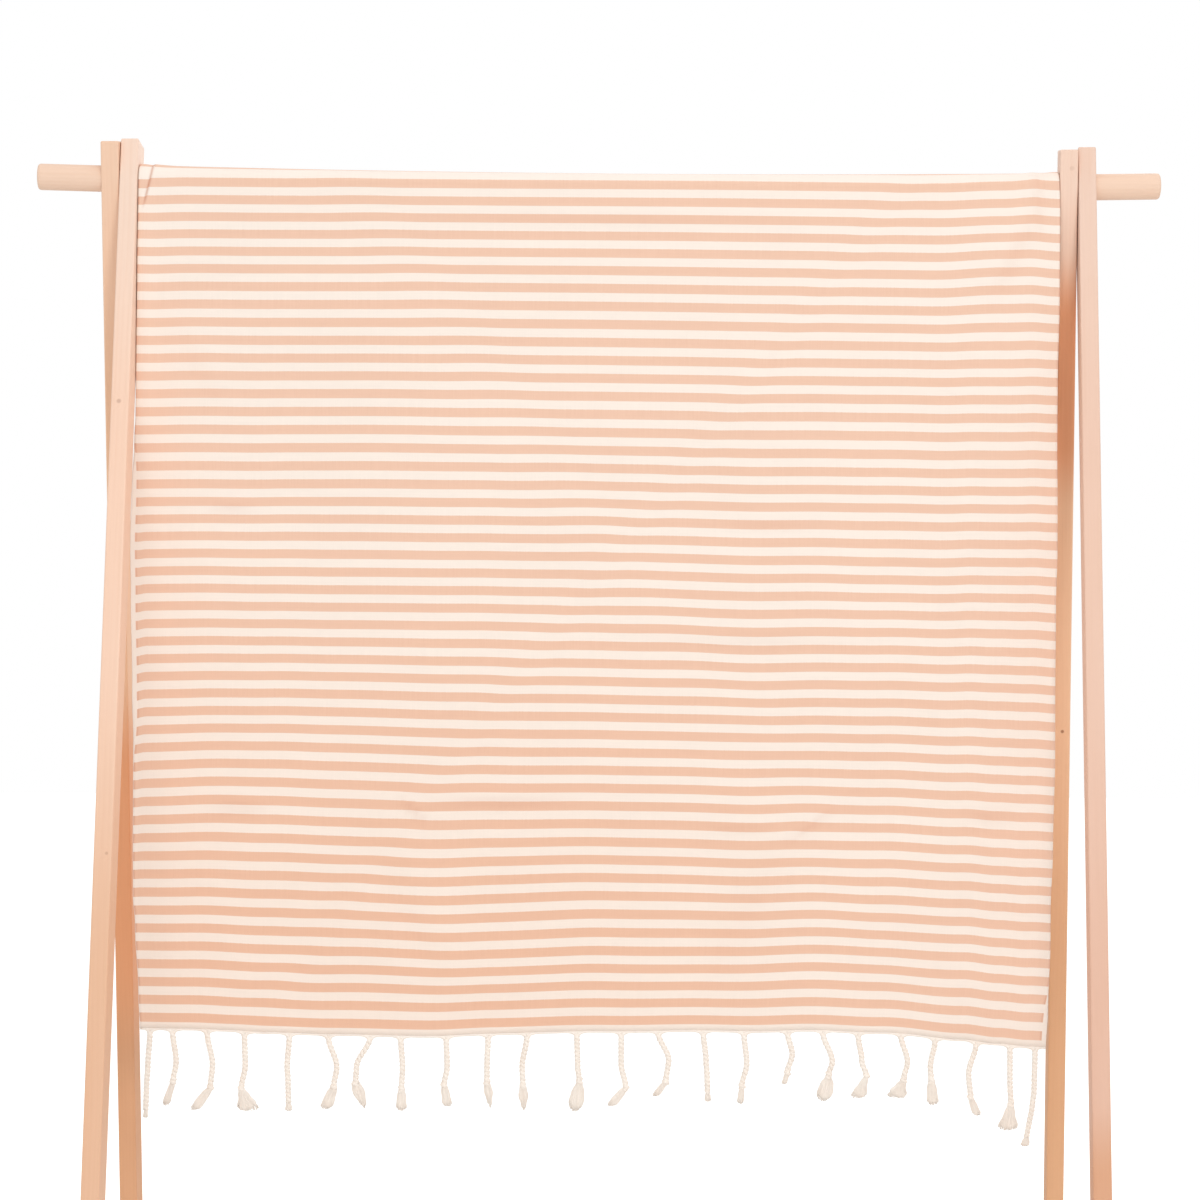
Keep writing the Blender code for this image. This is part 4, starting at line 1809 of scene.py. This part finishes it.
@dataclass
class Studio:
    """White floor, white surroundings, soft lamps, and the camera of the photograph's view."""

    camera_place: Triple = (-0.0816, -3.5, 0.9007)
    yaw: float = -0.0236
    pitch: float = 0.0323
    roll: float = 0.0049
    focal_pixels: float = 3286.0
    frame_pixels: float = 1200.0
    sensor_mm: float = 36.0
    white: Colour = (1.0, 1.0, 1.0)
    black: Colour = (0.0, 0.0, 0.0)
    surroundings: float = 0.76
    floor_radius: float = 30.0
    floor_sides: int = 96
    floor_pale: Colour = paint(234, 233, 231)
    floor_dark: Colour = paint(229, 228, 226)
    floor_share: float = 0.4
    floor_clouds: float = 3.0
    floor_detail: float = 2.0
    floor_roughness: float = 0.8
    near_glow: float = 0.10
    far_glow: float = 0.60
    glow_starts: float = 1.5
    glow_full: float = 2.4
    lamp_colour: Colour = (1.0, 0.99, 0.97)
    lamps: tuple[Lamp, ...] = (
        Lamp("key", (1.25, -3.8, 2.2), (0.0, 0.0, 0.9), 1.2, 38.0),
        Lamp("fill", (-1.6, -3.4, 0.5), (-0.2, 0.0, 0.6), 1.2, 9.0),
        Lamp("top", (0.0, -0.6, 4.2), (0.0, 0.0, 0.9), 3.0, 16.0),
        Lamp("rear", (1.5, 3.4, 3.0), (0.0, 0.0, 0.9), 3.0, 40.0),
    )

    def floor_finish(self) -> bpy.types.Material:
        """Very pale and cloudy, and glowing to the eye, more so far away from the stand.

        Returns:
            A material whose glow is eased by the distance from the upright through the origin.
        """
        bench = NodeBench.material("studio_white")
        place = bench.place()
        x, y, _ = bench.parts(place)
        cloud = bench.noise(place, (self.floor_clouds,) * 3, self.floor_detail)
        away = (x * x + y * y).root().eased(self.glow_starts, self.glow_full)
        glow = bench.seen_directly() * (self.near_glow + (self.far_glow - self.near_glow) * away)
        return bench.finish(
            Base_Color=bench.blend(self.floor_share * cloud, self.floor_pale, self.floor_dark),
            Roughness=self.floor_roughness,
            Emission_Color=bench.blend(glow, self.black, self.white),
            Emission_Strength=1.0,
        )

    def build_floor(self) -> None:
        """A wide disc at the height of the feet: a circle of points by cosine and sine."""
        turn = np.linspace(0.0, FULL_TURN, self.floor_sides, endpoint=False)
        rim = np.stack([np.cos(turn), np.sin(turn), np.zeros_like(turn)], -1) * self.floor_radius
        mesh = bpy.data.meshes.new("floor")
        mesh.from_pydata(rim.tolist(), [], [list(range(self.floor_sides))])
        mesh.materials.append(self.floor_finish())
        floor = bpy.data.objects.new("floor", mesh)
        bpy.context.scene.collection.objects.link(floor)

    def build_surroundings(self) -> None:
        """White all round: full white to the eye, and a little less as light on the object."""
        world = bpy.data.worlds.new("white_studio")
        bpy.context.scene.world = world
        bench = NodeBench(world, "Background")
        strength = self.surroundings + (1.0 - self.surroundings) * bench.seen_directly()
        bench.finish(Color=self.white, Strength=strength)

    def build_lamps(self) -> None:
        """Square area lamps, each turned to the point that it faces."""
        for lamp in self.lamps:
            light = bpy.data.lights.new(lamp.name, "AREA")
            light.size = lamp.side
            light.energy = lamp.power
            light.color = self.lamp_colour
            holder = bpy.data.objects.new(lamp.name, light)
            holder.location = lamp.place
            direction = Vector(lamp.faces) - Vector(lamp.place)
            holder.rotation_euler = direction.to_track_quat("-Z", "Y").to_euler()
            bpy.context.scene.collection.objects.link(holder)

    def build_camera(self) -> None:
        """The camera: forward from yaw and pitch, then rolled about that line."""
        forward = Vector((
            -math.sin(self.yaw) * math.cos(self.pitch),
            math.cos(self.yaw) * math.cos(self.pitch),
            math.sin(self.pitch),
        ))
        level = Vector((math.cos(self.yaw), math.sin(self.yaw), 0.0))
        upright = level.cross(forward)
        right = level * math.cos(self.roll) + upright * math.sin(self.roll)
        up = upright * math.cos(self.roll) - level * math.sin(self.roll)
        data = bpy.data.cameras.new("camera")
        data.sensor_width = self.sensor_mm
        data.lens = self.sensor_mm * self.focal_pixels / self.frame_pixels
        camera = bpy.data.objects.new("camera", data)
        turned = Matrix((right, up, -forward)).transposed().to_4x4()
        camera.matrix_world = Matrix.Translation(self.camera_place) @ turned
        bpy.context.scene.collection.objects.link(camera)
        bpy.context.scene.camera = camera

    def build(self) -> None:
        """Make the whole studio, and show its colours as they are."""
        self.build_camera()
        self.build_floor()
        self.build_surroundings()
        self.build_lamps()
        bpy.context.scene.view_settings.view_transform = "Standard"


def main() -> None:
    """Build the studio, the stand's finishes, the cloth and its two fringes."""
    logging.basicConfig(level=logging.INFO, format="%(message)s")
    Studio().build()
    rod = Rod()
    Stand(rod).dress()
    towel = Towel(rod)
    cloth = towel.build()
    log.info("%s: %d faces, flat %.3f by %.3f m", cloth.name, len(cloth.data.polygons),
             towel.width, towel.length)
    threads = FringeCotton().make()
    for end, cords, at_back in (("front", FRONT_CORDS, False), ("back", EvenCords().cords(), True)):
        hem = towel.hem(at_back)
        fringe = Fringe(f"fringe_cords_{end}", f"fringe_{end}", cords, hem, towel.width)
        piece = fringe.build(threads)
        log.info("%s: %d faces, %d cords", piece.name, len(piece.data.polygons), len(cords))
    towel.length


if __name__ == "__main__":
    main()
